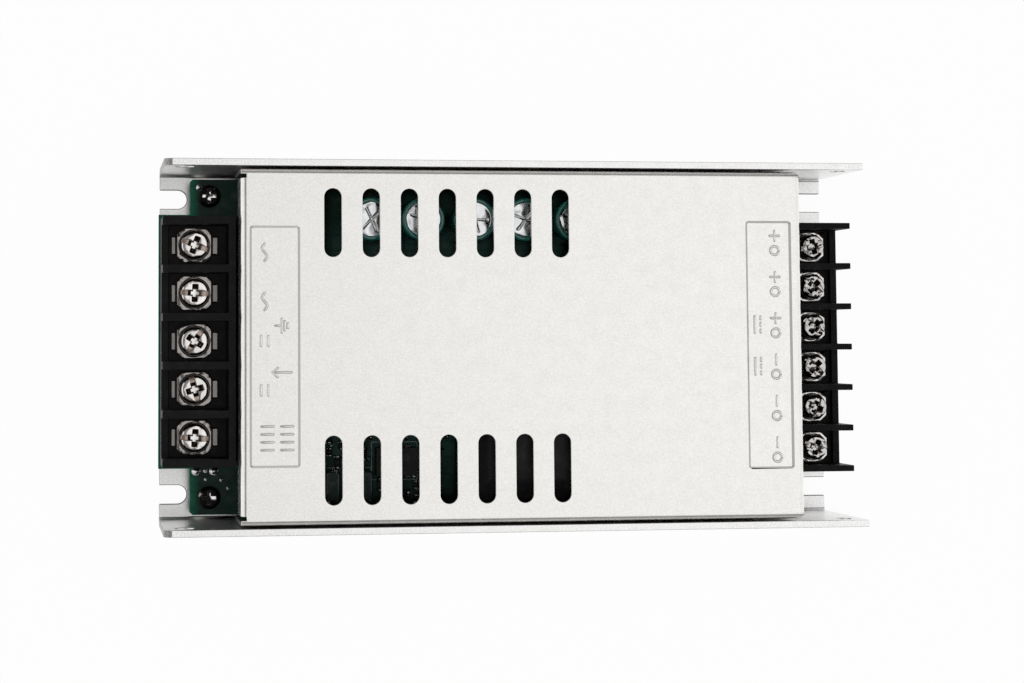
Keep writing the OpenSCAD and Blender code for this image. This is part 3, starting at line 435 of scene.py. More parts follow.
FUSE_BROWN = moulded_plastic("fuse_case", (0.16, 0.07, 0.03), 0.4)
PACKAGE = moulded_plastic("package_black", (0.01, 0.01, 0.011), 0.5, dusty=0.06)
PACKAGE_WHITE = moulded_plastic("package_white", (0.72, 0.72, 0.68), 0.45, rub=0.0)
RESISTOR = dipped_coat("resistor_coat", (0.5, 0.36, 0.2), 0.45)
BAND_DARK = dipped_coat("band_dark", (0.08, 0.03, 0.02), 0.45)


# Meshes

def new_piece(name, bm, materials, body, replaced=(), sharp=32):
    """A piece from a mesh: smooth, with its sharp edges kept, riding on a body."""
    limit = math.radians(sharp)
    for edge in bm.edges:
        edge.smooth = len(edge.link_faces) == 2 and edge.calc_face_angle(0.0) < limit
    for face in bm.faces:
        face.smooth = True
    mesh = bpy.data.meshes.new(name)
    bm.to_mesh(mesh)
    bm.free()
    for material in materials:
        mesh.materials.append(material)
    piece = bpy.data.objects.new(name, mesh)
    bpy.context.collection.objects.link(piece)
    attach(piece, body)
    if replaced:
        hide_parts(*replaced)
    return piece


def flat_faces(piece):
    """Keeps the large faces flat, so that only the rounded edges turn the light."""
    weighted = piece.modifiers.new("flat_faces", "WEIGHTED_NORMAL")
    weighted.weight = 100
    weighted.keep_sharp = True


def node_mesh(node):
    """A CAD node's mesh with its points joined and its flat faces merged."""
    bm = bmesh.new()
    bm.from_mesh(frame["nodes"][node].data)
    bmesh.ops.remove_doubles(bm, verts=bm.verts, dist=0.002 * MM)
    bmesh.ops.dissolve_limit(bm, angle_limit=math.radians(0.5), verts=bm.verts, edges=bm.edges)
    return bm


def skin(bm, rows, material=0):
    """Faces between successive closed rows of points."""
    for low, high in zip(rows, rows[1:]):
        for i in range(len(low)):
            j = (i + 1) % len(low)
            bm.faces.new((low[i], low[j], high[j], high[i])).material_index = material


def close_row(bm, row, material=0):
    bm.faces.new(row).material_index = material


def lathe(bm, profile, place, turns=48, material=0, ends=(True, True)):
    """A turned shape from (radius, height) points in millimetres, about the Z axis of a place."""
    rows = []
    for radius, height in profile:
        row = []
        for i in range(turns):
            a = 2 * math.pi * i / turns
            point = place @ Vector((radius * math.cos(a), radius * math.sin(a), height))
            row.append(bm.verts.new(point * MM))
        rows.append(row)
    skin(bm, rows, material)
    for row, wanted in zip((rows[0], rows[-1]), ends):
        if wanted:
            close_row(bm, row, material)
    return rows


def tube(bm, path, radius, sides=10, material=0):
    """A round wire with closed ends along points in millimetres, of one radius or a list of radii."""
    radii = radius if isinstance(radius, list) else [radius] * len(path)
    rows, up = [], None
    for i, point in enumerate(path):
        ahead = (path[min(i + 1, len(path) - 1)] - path[max(i - 1, 0)]).normalized()
        up = (ahead.orthogonal() if up is None else up - ahead * up.dot(ahead)).normalized()
        side = ahead.cross(up)
        row = []
        for k in range(sides):
            a = 2 * math.pi * k / sides
            row.append(bm.verts.new((point + (up * math.cos(a) + side * math.sin(a)) * radii[i]) * MM))
        rows.append(row)
    skin(bm, rows, material)
    close_row(bm, rows[0], material)
    close_row(bm, rows[-1], material)


def at(x, y, z):
    """A place in millimetres."""
    return Matrix.Translation((x, y, z))


def box_mm(node):
    """A node's lowest and highest corners in millimetres."""
    low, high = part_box(node)
    return Vector(low) / MM, Vector(high) / MM


def cut_whole(bm, spot, across):
    """Cuts the whole mesh along a plane through a spot in millimetres."""
    geom = bm.verts[:] + bm.edges[:] + bm.faces[:]
    bmesh.ops.bisect_plane(bm, geom=geom, dist=CUT_DIST, plane_co=spot * MM, plane_no=across)


def cut_cells(bm, low, high, step, above):
    """Cuts the faces above a height into cells of step millimetres, so that flat faces can be shaped."""
    for axis in (0, 1):
        across = Vector((0, 0, 0))
        across[axis] = 1
        for i in range(1, int((high[axis] - low[axis]) / step) + 1):
            spot = Vector((0, 0, 0))
            spot[axis] = (low[axis] + i * step) * MM
            faces = [f for f in bm.faces if f.calc_center_median().z > above * MM]
            parts = {e for f in faces for e in f.edges} | {v for f in faces for v in f.verts}
            geom = faces + list(parts)
            bmesh.ops.bisect_plane(bm, geom=geom, dist=CUT_DIST, plane_co=spot, plane_no=across)


def soften(bm, edge, segments=2, sharp=28):
    """Rounds by edge millimetres the edges whose faces meet at more than sharp degrees."""
    hard = [e for e in bm.edges if len(e.link_faces) == 2
            and math.radians(sharp) < e.calc_face_angle(0.0)]
    bmesh.ops.bevel(bm, geom=hard, offset=edge * MM, offset_type="OFFSET", segments=segments, profile=0.5,
                    affect="EDGES", clamp_overlap=False)


def dressed(node, bm, materials):
    """A piece that stands for one CAD node."""
    flat_faces(new_piece(node + "_finished", bm, materials, BODY_OF[node], (node,)))


def finished(node, material, edge):
    """A CAD node's own shape with rounded edges and a finish."""
    bm = node_mesh(node)
    soften(bm, edge)
    dressed(node, bm, [material])


# Stage: camera, floor, world and sun

def aim_camera():
    """The photograph's view: almost straight down, from above the input end."""
    data = bpy.data.cameras.new("photo_camera")
    data.lens = 70.683
    data.sensor_width = 36
    data.shift_x = 0.1631
    data.shift_y = -0.1187
    camera = bpy.data.objects.new("photo_camera", data)
    camera.location = (-0.0980489, 0.0011801, 0.4771103)
    camera.rotation_euler = [math.radians(a) for a in (3.4656, -7.319, -0.2048)]
    bpy.context.collection.objects.link(camera)
    bpy.context.scene.camera = camera


def seen_plainly(tree):
    """1 where the ray comes straight from the camera, a mirror or glass."""
    path = add(tree, "ShaderNodeLightPath").outputs
    seen = calc(tree, "MAXIMUM", path["Is Camera Ray"], path["Is Glossy Ray"])
    return calc(tree, "MAXIMUM", seen, path["Is Transmission Ray"])


FLOOR_WHITENESS = 0.93
FLOOR_GAP = 0.0002


def lay_floor():
    """A pale floor that is white to the camera and keeps the object's shadow."""
    bm = bmesh.new()
    bmesh.ops.create_grid(bm, x_segments=4, y_segments=4, size=4.0)
    mesh = bpy.data.meshes.new("floor")
    bm.to_mesh(mesh)
    bm.free()
    floor = bpy.data.objects.new("floor", mesh)
    floor.location.z = cad_box[0][2] - FLOOR_GAP
    bpy.context.collection.objects.link(floor)
    material = bpy.data.materials.new("floor_paper")
    material.use_nodes = True
    tree = material.node_tree
    paper = tree.nodes["Principled BSDF"]
    paper.inputs["Base Color"].default_value = (0.9, 0.9, 0.9, 1)
    paper.inputs["Roughness"].default_value = 0.9
    white = add(tree, "ShaderNodeEmission", Color=(1, 1, 1, 1), Strength=1.0)
    mix = add(tree, "ShaderNodeMixShader")
    feed(tree, mix.inputs[0], calc(tree, "MULTIPLY", seen_plainly(tree), FLOOR_WHITENESS))
    feed(tree, mix.inputs[1], paper.outputs[0])
    feed(tree, mix.inputs[2], white.outputs[0])
    feed(tree, tree.nodes["Material Output"].inputs["Surface"], mix.outputs[0])
    mesh.materials.append(material)


# The soft light overhead: its axis, and brightness by the cosine from that axis
SOFT_AXIS = (0.342, 0.0, 0.94)
SOFT_BANDS = ((0.0, 0.66), (0.42, 0.6), (0.62, 0.22), (0.86, 0.22), (0.92, 0.86), (0.966, 0.93), (1.0, 1.0))
# The two low side panels: their axes and brightness
SIDE_AXES = ((-0.93, 0.0, 0.37), (0.93, 0.0, 0.37))
SIDE_LEVEL = 0.92
# Cosines from a side panel's axis between which it fades in
SIDE_EDGE = (0.86, 0.93)
# How bright the studio is to what it lights softly
DIFFUSE_LEVEL = 0.52
SUN_FROM = (-0.16, -0.02, 0.987)
SUN_ENERGY = 1.25
SUN_ANGLE = 7


def light_studio():
    """A white studio: a soft light overhead, two side panels, and a sun that reaches into the slots."""
    world = bpy.data.worlds.new("studio")
    bpy.context.scene.world = world
    world.use_nodes = True
    tree = world.node_tree
    back = tree.nodes["Background"]
    where = add(tree, "ShaderNodeTexCoord").outputs["Generated"]

    def towards(axis):
        dot = add(tree, "ShaderNodeVectorMath", {"operation": "DOT_PRODUCT"})
        feed(tree, dot.inputs[0], where)
        feed(tree, dot.inputs[1], axis)
        return dot.outputs["Value"]

    bands = add(tree, "ShaderNodeValToRGB", Fac=towards(SOFT_AXIS))
    stops = bands.color_ramp.elements
    for place, level in SOFT_BANDS:
        stops.new(place).color = (level, level, level, 1)
    stops.remove(stops[0])
    stops.remove(stops[-1])
    left, right = (spread(tree, towards(axis), *SIDE_EDGE) for axis in SIDE_AXES)
    panels = calc(tree, "MAXIMUM", left, right)
    mirrored = blend(tree, panels, bands.outputs["Color"], (SIDE_LEVEL, SIDE_LEVEL, SIDE_LEVEL))
    path = add(tree, "ShaderNodeLightPath").outputs
    lit = blend(tree, path["Is Diffuse Ray"], mirrored, (DIFFUSE_LEVEL, DIFFUSE_LEVEL, DIFFUSE_LEVEL))
    feed(tree, back.inputs["Color"], blend(tree, path["Is Camera Ray"], lit, (1, 1, 1)))
    back.inputs["Strength"].default_value = 1.0

    data = bpy.data.lights.new("soft_sun", "SUN")
    data.energy = SUN_ENERGY
    data.angle = math.radians(SUN_ANGLE)
    sun = bpy.data.objects.new("soft_sun", data)
    sun.rotation_euler = (-Vector(SUN_FROM)).to_track_quat("-Z", "Y").to_euler()
    sun.visible_glossy = False
    bpy.context.collection.objects.link(sun)


aim_camera()
lay_floor()
light_studio()
bpy.context.scene.view_settings.view_transform = "Standard"


# Case, board and terminals

BOARD_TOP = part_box("circuit_board")[1].z / MM
PANEL_Z = 29.35
TRAY_SHEET = 1.6
# Inner radius of the tray's folds: in the CAD, and as drawn
TRAY_FOLD = (1.2, 0.8)
WALL_END_R = 2.2
WALL_TOP_SKIN = 0.2
NOTCH_Y = 34.65
NOTCH_HALF = 2.4
NOTCH_X = (73.2, 80.8)
# Corner radii of the pressed panels: in the CAD at rim and foot, and as drawn
PANEL_CORNER = 1.6
PANEL_FOOT_CORNER = 1.95
PANEL_SMALL_CORNER = 0.8
PANEL_SLOPE = 0.52
COVER_CORNER = 1.8
BOARD_CLIP = 0.4
# How far a point may lie off the place where it is looked for
SLACK = 0.01
TRIM_CUTS = 7


def trim_corner(bm, corner, inward, radius):
    """Rounds a corner of a sheet piece by flat cuts along an arc, and closes the cut edges.

    The corner and the inward direction have a 0 on the axis that the cuts run along.
    """
    middle = (Vector(corner) + Vector(inward) * radius) * MM
    first, second = (i for i in range(3) if inward[i])
    for i in range(1, TRIM_CUTS):
        a = math.pi / 2 * i / TRIM_CUTS
        out = Vector((0, 0, 0))
        out[first] = -inward[first] * math.cos(a)
        out[second] = -inward[second] * math.sin(a)
        spot = middle + out * radius * MM
        near = [f for f in bm.faces if any((v.co - spot).dot(out) > 1e-9 for v in f.verts)]
        parts = {e for f in near for e in f.edges} | {v for f in near for v in f.verts}
        done = bmesh.ops.bisect_plane(bm, geom=near + list(parts), dist=CUT_DIST, plane_co=spot,
                                      plane_no=out, clear_outer=True)
        rims = [e for e in done["geom_cut"] if isinstance(e, bmesh.types.BMEdge) and e.is_boundary]
        bmesh.ops.edgeloop_fill(bm, edges=rims)


def folded_tray():
    """The tray with tighter folds inside, eased wall ends painted dark as shade, rounded edges, and notch
    sides painted dark as shade.
    """
    bm = node_mesh("base_tray")
    low, high = box_mm("base_tray")
    width = high.y
    loose, tight = TRAY_FOLD
    for vert in bm.verts:
        spot = vert.co / MM
        out = Vector((abs(spot.y) - (width - TRAY_SHEET - loose), spot.z - TRAY_SHEET - loose))
        if out.x > -SLACK and out.y < SLACK and abs(out.length - loose) < 2 * SLACK:
            across, up = out * tight / loose
            vert.co.y = math.copysign(width - TRAY_SHEET - tight + across, spot.y) * MM
            vert.co.z = (TRAY_SHEET + tight + up) * MM
    trim_corner(bm, (low.x, 0, high.z), (1, 0, -1), WALL_END_R)
    soften(bm, 0.15)
    notch_shade_face, end_shade_face, wall_top = 1, 2, 3
    for face in bm.faces:
        spot = face.calc_center_median() / MM
        in_floor = spot.z < TRAY_SHEET + SLACK and face.normal.z < 0.95
        beside = abs(abs(spot.y) - NOTCH_Y) < NOTCH_HALF
        # Painted shade on the rounded wall ends and on the notch sides
        if spot.x < low.x + WALL_END_R and spot.z > TRAY_SHEET and face.normal.x < -0.25:
            face.material_index = end_shade_face
        elif spot.z > high.z - WALL_TOP_SKIN and face.normal.z > 0.9:
            face.material_index = wall_top
        elif in_floor and beside and NOTCH_X[0] < abs(spot.x) < NOTCH_X[1]:
            face.material_index = notch_shade_face
        else:
            face.material_index = 0
    dressed("base_tray", bm, [TRAY, NOTCH_SIDE_SHADE, TRAY_END_SHADE, WALL_TOP])


def sharpen_panels(bm, top):
    """Gives the pressed panels small corners and narrow slopes, painted darker as shade where they face along
    the case.
    """
    slopes = []
    for edge in bm.edges:
        lower, upper = sorted(edge.verts, key=lambda v: v.co.z)
        if abs(lower.co.z / MM - PANEL_Z) < 2 * SLACK and abs(upper.co.z / MM - top) < 2 * SLACK:
            slopes.append((lower, upper))
    for face in {f for pair in slopes for f in set(pair[0].link_faces) & set(pair[1].link_faces)}:
        # Painted shade on the slopes that face along the case
        face.material_index = int(abs(face.normal.x) > abs(face.normal.y))
    for side in (-1, 1):
        rims = {upper for _, upper in slopes if upper.co.x * side > 0}
        feet = {lower for lower, _ in slopes if lower.co.x * side > 0}
        xs = sorted(v.co.x / MM for v in rims)
        ys = sorted(v.co.y / MM for v in rims)
        middle = Vector(((xs[0] + xs[-1]) / 2, (ys[0] + ys[-1]) / 2))
        for ring, arc, reach in ((rims, PANEL_CORNER, PANEL_SMALL_CORNER),
                                 (feet, PANEL_FOOT_CORNER, PANEL_SMALL_CORNER - PANEL_SLOPE)):
            for vert in ring:
                spot = vert.co.xy / MM
                corner = Vector((xs[-1 if spot.x > middle.x else 0], ys[-1 if spot.y > middle.y else 0]))
                inward = Vector((math.copysign(1, middle.x - spot.x), math.copysign(1, middle.y - spot.y)))
                out = (spot - corner - inward * arc).normalized()
                vert.co.x, vert.co.y = (corner + inward * PANEL_SMALL_CORNER + out * reach) * MM


def folded_cover():
    """The cover with crisp pressed panels, rounded bends and slot edges, and eased output corners."""
    bm = node_mesh("top_cover")
    low, high = box_mm("top_cover")
    sharpen_panels(bm, high.z)
    for side in (-1, 1):
        trim_corner(bm, (high.x, high.y if side > 0 else low.y, 0), (-1, -side, 0), COVER_CORNER)
    soften(bm, 0.12, 3, 55)
    dressed("top_cover", bm, [COVER, COVER_SLOPE_SHADE])


SHANK_R = {"input": 1.75, "output": 1.5}
THREAD = {"input": 0.6, "output": 0.5}
THREAD_TOP = 14.3
THREAD_R = 0.16
THREAD_SINK = 0.11
THREAD_STEPS = 20
# Above the screw's foot: where the thread starts, and what its turns leave out
THREAD_START = 0.2
THREAD_SPARE = 0.3
HEAD = {"input": NICKEL, "output": WAVY_NICKEL_SHADE}
HEAD_CELL = 0.45
HEAD_DOME = 0.42
DIMPLE_DEPTH = 0.3
# Shares of the head's radius: its dimple, its side, its recess, and where the recess stops widening
DIMPLE_SHARE = 0.42
SIDE_SHARE = 0.86
RECESS_SHARE = 0.62
WIDEN_SHARE = 0.9
WIDEN_FADE = 0.46
WIDEN = 0.22
# Depths below the top of the head: the slot's floor, the recess, the side, and what is domed or widened
SLOT_DEPTH = (0.5, 0.9)
RECESS_DEPTH = (0.1, 1.4)
SIDE_DEPTH = 3
DOME_DEPTH = 1.2
WIDEN_DEPTH = 2.0


def shape_head(bm, middle, top, head_r):
    """Domes a screw's head about its dimple, and widens the slot and the recess towards the middle."""
    for vert in bm.verts:
        depth = top - vert.co.z / MM
        out = Vector((vert.co.x / MM - middle.x, vert.co.y / MM - middle.y))
        reach = out.length
        if depth < DOME_DEPTH:
            dimple = DIMPLE_DEPTH * math.exp(-(reach / (DIMPLE_SHARE * head_r)) ** 2)
            vert.co.z -= (HEAD_DOME * (reach / head_r) ** 2 + dimple) * MM
        if depth < WIDEN_DEPTH:
            fade = min(1.0, max(0.0, (WIDEN_SHARE - reach / head_r) / WIDEN_FADE))
            vert.co.x += out.x * WIDEN * fade * MM
            vert.co.y += out.y * WIDEN * fade * MM


def cut_thread(bm, side, middle, foot):
    """Lays a screw's thread round its shank, from just above the foot."""
    pitch = THREAD[side]
    r = SHANK_R[side] - THREAD_SINK
    turns = (THREAD_TOP - foot - THREAD_SPARE) / pitch
    steps = int(turns * THREAD_STEPS)
    path = []
    for i in range(steps + 1):
        a = 2 * math.pi * turns * i / steps
        z = foot + THREAD_START + pitch * a / (2 * math.pi)
        path.append(Vector((middle.x + r * math.cos(a), middle.y + r * math.sin(a), z)))
    tube(bm, path, THREAD_R, 5)


def clamp_screw(side, k):
    """A clamp screw: domed head, slot floor painted a darker brownish tone as shade, recess painted dark as
    shade with the head's bright finish at its bottom, head side painted dark as shade, and a thread.
    """
    node = "%s_screw_%d" % (side, k)
    bm = node_mesh(node)
    soften(bm, 0.06)
    low, high = box_mm(node)
    middle = (low + high) / 2
    head_r = (high.x - low.x) / 2
    cut_cells(bm, low, high, HEAD_CELL, high.z - 1.0)
    # Painted shade on the slot floor, the recess and the head's side
    slot_shade_face, recess, head_side_shade = 1, 2, 3
    for face in bm.faces:
        centre = face.calc_center_median() / MM
        depth = high.z - centre.z
        reach = math.hypot(centre.x - middle.x, centre.y - middle.y)
        if SLOT_DEPTH[0] < depth < SLOT_DEPTH[1] and face.normal.z > 0.7 and reach < head_r:
            face.material_index = slot_shade_face
        elif reach > SIDE_SHARE * head_r and face.normal.z < 0.8 and depth < SIDE_DEPTH:
            face.material_index = head_side_shade
        elif RECESS_DEPTH[0] < depth < RECESS_DEPTH[1] and reach < RECESS_SHARE * head_r:
            face.material_index = recess
    shape_head(bm, middle, high.z, head_r)
    cut_thread(bm, side, middle, low.z)
    slot_shade_finish = SLOT_NICKEL_SHADE if side == "input" else HEAD[side]
    new_piece(node + "_finished", bm, [HEAD[side], slot_shade_finish, RECESS_NICKEL_SHADE, SIDE_NICKEL_SHADE], BODY_OF[node],
              (node,))


# Range of a 45 degree face's normal along X
DIAGONAL = (0.69, 0.72)


def draw_out_corners(bm, kept):
    """Keeps only a share of the width of a flat piece's outer clipped corners."""
    middle = sum((v.co for v in bm.verts), Vector()) / len(bm.verts)
    moves = {}
    for face in bm.faces:
        n = face.normal
        outward = (face.calc_center_median() - middle).dot(n) > 0
        if abs(n.z) < 0.1 and DIAGONAL[0] < abs(n.x) < DIAGONAL[1] and outward:
            xs, ys = [v.co.x for v in face.verts], [v.co.y for v in face.verts]
            corner = Vector((max(xs) if n.x > 0 else min(xs), max(ys) if n.y > 0 else min(ys), 0))
            for vert in face.verts:
                moves[vert] = Vector((corner.x, corner.y, vert.co.z))
    for vert, corner in moves.items():
        vert.co = corner.lerp(vert.co, kept)


# Finishes of a block's clamp plates and their rims, painted darker as shade on the plates and brighter as
# highlight on the rims, and the share of the corner clips that is kept
PLATE = {"input": (PLATE_NICKEL_SHADE_HIGHLIGHT, PLATE_NICKEL_SHADE_HIGHLIGHT, 0.62), "output": (PLATE_NICKEL_DARK_SHADE, RIM_NICKEL_HIGHLIGHT, 0.8)}
RIM_WIDTH = 0.5
RIM_SIDES = 8
PLATE_CROWN = 0.25
PLATE_SKIN = 0.3
DISH_DEPTH = 0.08
DISH_INSET = 0.2


def clamp_plate(side, k):
    """A crowned clamp plate with a flat rim in its own finish, painted as a highlight, and a dish painted
    dark as shade.
    """
    node = "%s_clamp_%d" % (side, k)
    plate, rim, clip = PLATE[side]
    bm = node_mesh(node)
    low, high = box_mm(node)
    middle = (low + high) / 2
    draw_out_corners(bm, clip)
    soften(bm, 0.1, 3)
    half = (high.x - low.x) / 2
    turns = [2 * math.pi * i / RIM_SIDES for i in range(RIM_SIDES)]
    outs = [Vector((math.cos(a), math.sin(a), 0)) for a in turns]
    limits = [max((v.co / MM - middle).dot(out) for v in bm.verts) - RIM_WIDTH for out in outs]
    for out, limit in zip(outs, limits):
        cut_whole(bm, middle + out * limit, out)
    # Painted shade on the dish, painted highlight on the rim
    dish_shade_face, rim_highlight_face = 1, 2
    for face in bm.faces:
        centre = face.calc_center_median() / MM
        reach = math.hypot(centre.x - middle.x, centre.y - middle.y)
        beyond = any((centre - middle).dot(out) > limit for out, limit in zip(outs, limits))
        if beyond and face.normal.z > 0.3:
            face.material_index = rim_highlight_face
        elif high.z - centre.z > DISH_DEPTH and reach < half - DISH_INSET:
            face.material_index = dish_shade_face
    for vert in bm.verts:
        if vert.co.z / MM > high.z - PLATE_SKIN:
            reach = math.hypot(vert.co.x / MM - middle.x, vert.co.y / MM - middle.y)
            vert.co.z += PLATE_CROWN * max(0.0, 1 - (reach / half) ** 2) * MM
    dressed(node, bm, [plate, SIDE_NICKEL_SHADE, rim])


# How far from its pole's middle a contact is painted dark as shade
NECK_SHADE_REACH = 4.4


def contact_row(side):
    """Contacts with necks painted dark as shade and bright ends beyond the clamp plates."""
    node = side + "_contacts"
    bm = node_mesh(node)
    soften(bm, 0.08)
    low, high = box_mm(side + "_clamp_1")
    pole_x = (low.x + high.x) / 2
    for reach in (-NECK_SHADE_REACH, NECK_SHADE_REACH):
        cut_whole(bm, Vector((pole_x + reach, 0, 0)), (1, 0, 0))
    for face in bm.faces:
        if abs(face.calc_center_median().x / MM - pole_x) < NECK_SHADE_REACH:
            face.material_index = 1
    dressed(node, bm, [TIN, NECK_BRASS_SHADE])


def small_cornered_board():
    """The board with its clipped corners drawn out to small ones."""
    bm = node_mesh("circuit_board")
    draw_out_corners(bm, BOARD_CLIP)
    soften(bm, 0.1)
    dressed("circuit_board", bm, [BOARD])


BOARD_HEAD_R = 2.6
DRIVER_SHARE = 0.68
DRIVER_DEPTH = (0.05, 1.3)


def worn_screws():
    """The board's small black screws, their driver recesses bright in patches: partly wear, partly painted
    glints.
    """
    node = "board_screws"
    bm = node_mesh(node)
    soften(bm, 0.1)
    low, high = box_mm(node)
    spots = [(x, y) for x in (low.x + BOARD_HEAD_R, high.x - BOARD_HEAD_R)
             for y in (low.y + BOARD_HEAD_R, high.y - BOARD_HEAD_R)]
    for face in bm.faces:
        centre = face.calc_center_median() / MM
        reach = min(math.hypot(centre.x - x, centre.y - y) for x, y in spots)
        in_recess = DRIVER_DEPTH[0] < high.z - centre.z < DRIVER_DEPTH[1]
        if in_recess and reach < DRIVER_SHARE * BOARD_HEAD_R:
            face.material_index = 1
    dressed(node, bm, [DARK_STEEL, WORN_RECESS_GLINTS])


MOULDING = {"input": BLOCK, "output": BLOCK_SHADED}

folded_tray()
folded_cover()
small_cornered_board()
finished("insulation_film", FILM, 0.05)
finished("board_spacers", SPACER, 0.1)
worn_screws()
finished("cover_screws", DARK_STEEL, 0.1)
for side, poles in POLES.items():
    finished(side + "_terminal_body", MOULDING[side], 0.15)
    contact_row(side)
    for k in range(1, poles + 1):
        clamp_plate(side, k)
        clamp_screw(side, k)


# Signs raised on the cover's two panels

MARK_R = 0.36
MARK_RISE = 0.22
# A line's round end: how far out and how thick, as shares of its radius
ROUND_END = ((0.97, 0.24), (0.8, 0.6), (0.45, 0.89))
# Where the signs stand on the input panel, and their sizes
WAVE_X = -58.6
WAVE_OFF = 2.2
WAVE_HALF = 1.9
WAVE_SWING = 0.55
PAIR_X = (-59.4, -57.8)
PAIR_HALF = 1.1
EARTH_AT = (-54.8, 4.6)
EARTH_STEM = 1.4
EARTH_STEP = 0.7
EARTH_HALVES = (1.5, 1.0, 0.5)
ARROW_AT = (-52.6, -5.8)
ARROW_REACH = -4.2
ARROW_BARB = (1.1, 1.0)
DASH_X = (-59.3, -54.9)
DASH_Y = -17.8
DASH_STEP = 1.75
DASH_LENGTH = 2.6
DASH_ROWS = 4
# The same for the output panel
RING_X = 59.6
RING_OFF = 1.5
RING_R = 1.0
RING_STEPS = 20
POLE_SIGN_OFF = 1.9
POLE_SIGN_HALF = 1.1
DIRECT_X = 54.6
DIRECT_Y = (4.6, -5.0)
DIRECT_HALF = 1.9
DIRECT_GAP = 1.4


def raised_line(bm, points):
    """A raised line with a round top and round ends on a panel, through (x, y) points in millimetres."""
    path = [Vector((x, y, PANEL_Z - MARK_R + MARK_RISE)) for x, y in points]
    back = (path[0] - path[1]).normalized() * MARK_R
    ahead = (path[-1] - path[-2]).normalized() * MARK_R
    radii = [MARK_R * share for _, share in ROUND_END]
    start = [path[0] + back * far for far, _ in ROUND_END]
    end = [path[-1] + ahead * far for far, _ in ROUND_END[::-1]]
    tube(bm, start + path + end, radii + [MARK_R] * len(path) + radii[::-1], 12)


def along_y(bm, x, y, half):
    """A bar along Y, which also serves as the minus sign."""
    raised_line(bm, [(x, y - half), (x, y + half)])


def plus_sign(bm, x, y, half):
    raised_line(bm, [(x - half, y), (x + half, y)])
    along_y(bm, x, y, half)


def wave_sign(bm, x, y):
    """An alternating-current wave that runs along Y."""
    raised_line(bm, [(x + WAVE_SWING * math.sin(i * math.pi / 8), y + WAVE_HALF * (i / 8 - 1))
                     for i in range(17)])


def arrow_sign(bm, x, y):
    """An arrow along X with a short barbed head."""
    tip = x + ARROW_REACH
    back, out = ARROW_BARB
    root = tip - math.copysign(back, ARROW_REACH)
    raised_line(bm, [(x, y), (tip, y)])
    raised_line(bm, [(root, y - out), (tip, y), (root, y + out)])


def ring_sign(bm, x, y):
    """A terminal's ring."""
    turns = [2 * math.pi * i / RING_STEPS for i in range(RING_STEPS)]
    raised_line(bm, [(x + RING_R * math.cos(a), y + RING_R * math.sin(a)) for a in turns])


def direct_sign(bm, x, y):
    """A direct-current sign: a bar beside three short bars, along Y."""
    along_y(bm, x, y, DIRECT_HALF)
    for i in (-1, 0, 1):
        along_y(bm, x + DIRECT_GAP, y + 0.8 * i * DIRECT_HALF, 0.16 * DIRECT_HALF)


def earth_sign(bm, x, y):
    """A stem and three shrinking bars."""
    raised_line(bm, [(x - EARTH_STEM, y), (x, y)])
    for i, half in enumerate(EARTH_HALVES):
        along_y(bm, x + EARTH_STEP * i, y, half)


def pole_rows(side):
    """The Y of each pole of a terminal block."""
    rows = []
    for k in range(1, POLES[side] + 1):
        low, high = box_mm("%s_clamp_%d" % (side, k))
        rows.append((low.y + high.y) / 2)
    return rows


def panel_marks():
    """Plain signs beside the terminals.

    At the input: waves, pairs of bars, an earth sign, an arrow and two rows of short bars. At the output:
    rings, each with a plus or a minus, and two direct-current signs.
    """
    bm = bmesh.new()
    rows = pole_rows("input")
    for y in rows[:2]:
        wave_sign(bm, WAVE_X, y - WAVE_OFF)
    for y in rows[2:4]:
        for x in PAIR_X:
            along_y(bm, x, y, PAIR_HALF)
    earth_sign(bm, *EARTH_AT)
    arrow_sign(bm, *ARROW_AT)
    for i in range(DASH_ROWS):
        y = DASH_Y - DASH_STEP * i
        for x in DASH_X:
            raised_line(bm, [(x, y), (x + DASH_LENGTH, y)])
    for k, y in enumerate(pole_rows("output")):
        ring_sign(bm, RING_X, y - RING_OFF)
        sign = plus_sign if k < POLES["output"] / 2 else along_y
        sign(bm, RING_X, y + POLE_SIGN_OFF, POLE_SIGN_HALF)
    for y in DIRECT_Y:
        direct_sign(bm, DIRECT_X, y)
    bm.normal_update()
    for face in bm.faces:
        # Painted shade on the sides of the marks that face along the case
        face.material_index = int(abs(face.normal.x) > max(0.5, abs(face.normal.y)))
    new_piece("cover_panel_marks", bm, [COVER, COVER_SLOPE_SHADE], "enclosure")


panel_marks()


# Solder joints and small parts on the board

PRINT_GAP = 0.6
PRINT_R = 0.1
PRINTED_ROUND = ("film_capacitors", "control_chip", "power_resistors", "optocouplers")
JACKET_GAP = 0.06
JACKET_SKIRT = 1.5
# Joints at the input end: x, y, radius and height
INPUT_JOINTS = (
    (-72.6, -28.9, 1.1, 0.8),
    (-68.5, -28.9, 1.1, 0.8),
    (-70.5, -28.8, 0.55, 0.3),
    (-70.4, -30.8, 0.4, 0.3),
    (-66.8, -31.0, 0.45, 0.3),
    (-65.2, -32.9, 0.45, 0.3),
    (-71.95, 37.1, 0.75, 0.6),
)
# Joints of the control side: how many, and the ranges of x, y, radius and height
STRAY_JOINTS = 60
STRAY_RANGES = ((-47, -14), (-37, -18), (0.25, 0.5), (0.2, 0.5))
# Surface-mounted parts: tries, ranges of x and y, gaps, and sizes
SURFACE_TRIES = 900
SURFACE_X = (-47, -10)
SURFACE_Y = (-37, -17)
SURFACE_GAP = 1.6
SURFACE_APART = 2.6
BIG_SHARE = 0.3
BIG_PART = (3.2, 1.6, 0.7)
SMALL_PART = (2.0, 1.25, 0.7)
# The corners of a box in turn
AROUND = ((-1, -1), (1, -1), (1, 1), (-1, 1))
# A surface part's lengths: from and to in half lengths, swell in millimetres, and finish
SURFACE_LENGTHS = ((-1.0, -0.6, 0.03, 1), (-0.6, 0.6, 0.0, 0), (0.6, 1.0, 0.03, 1))


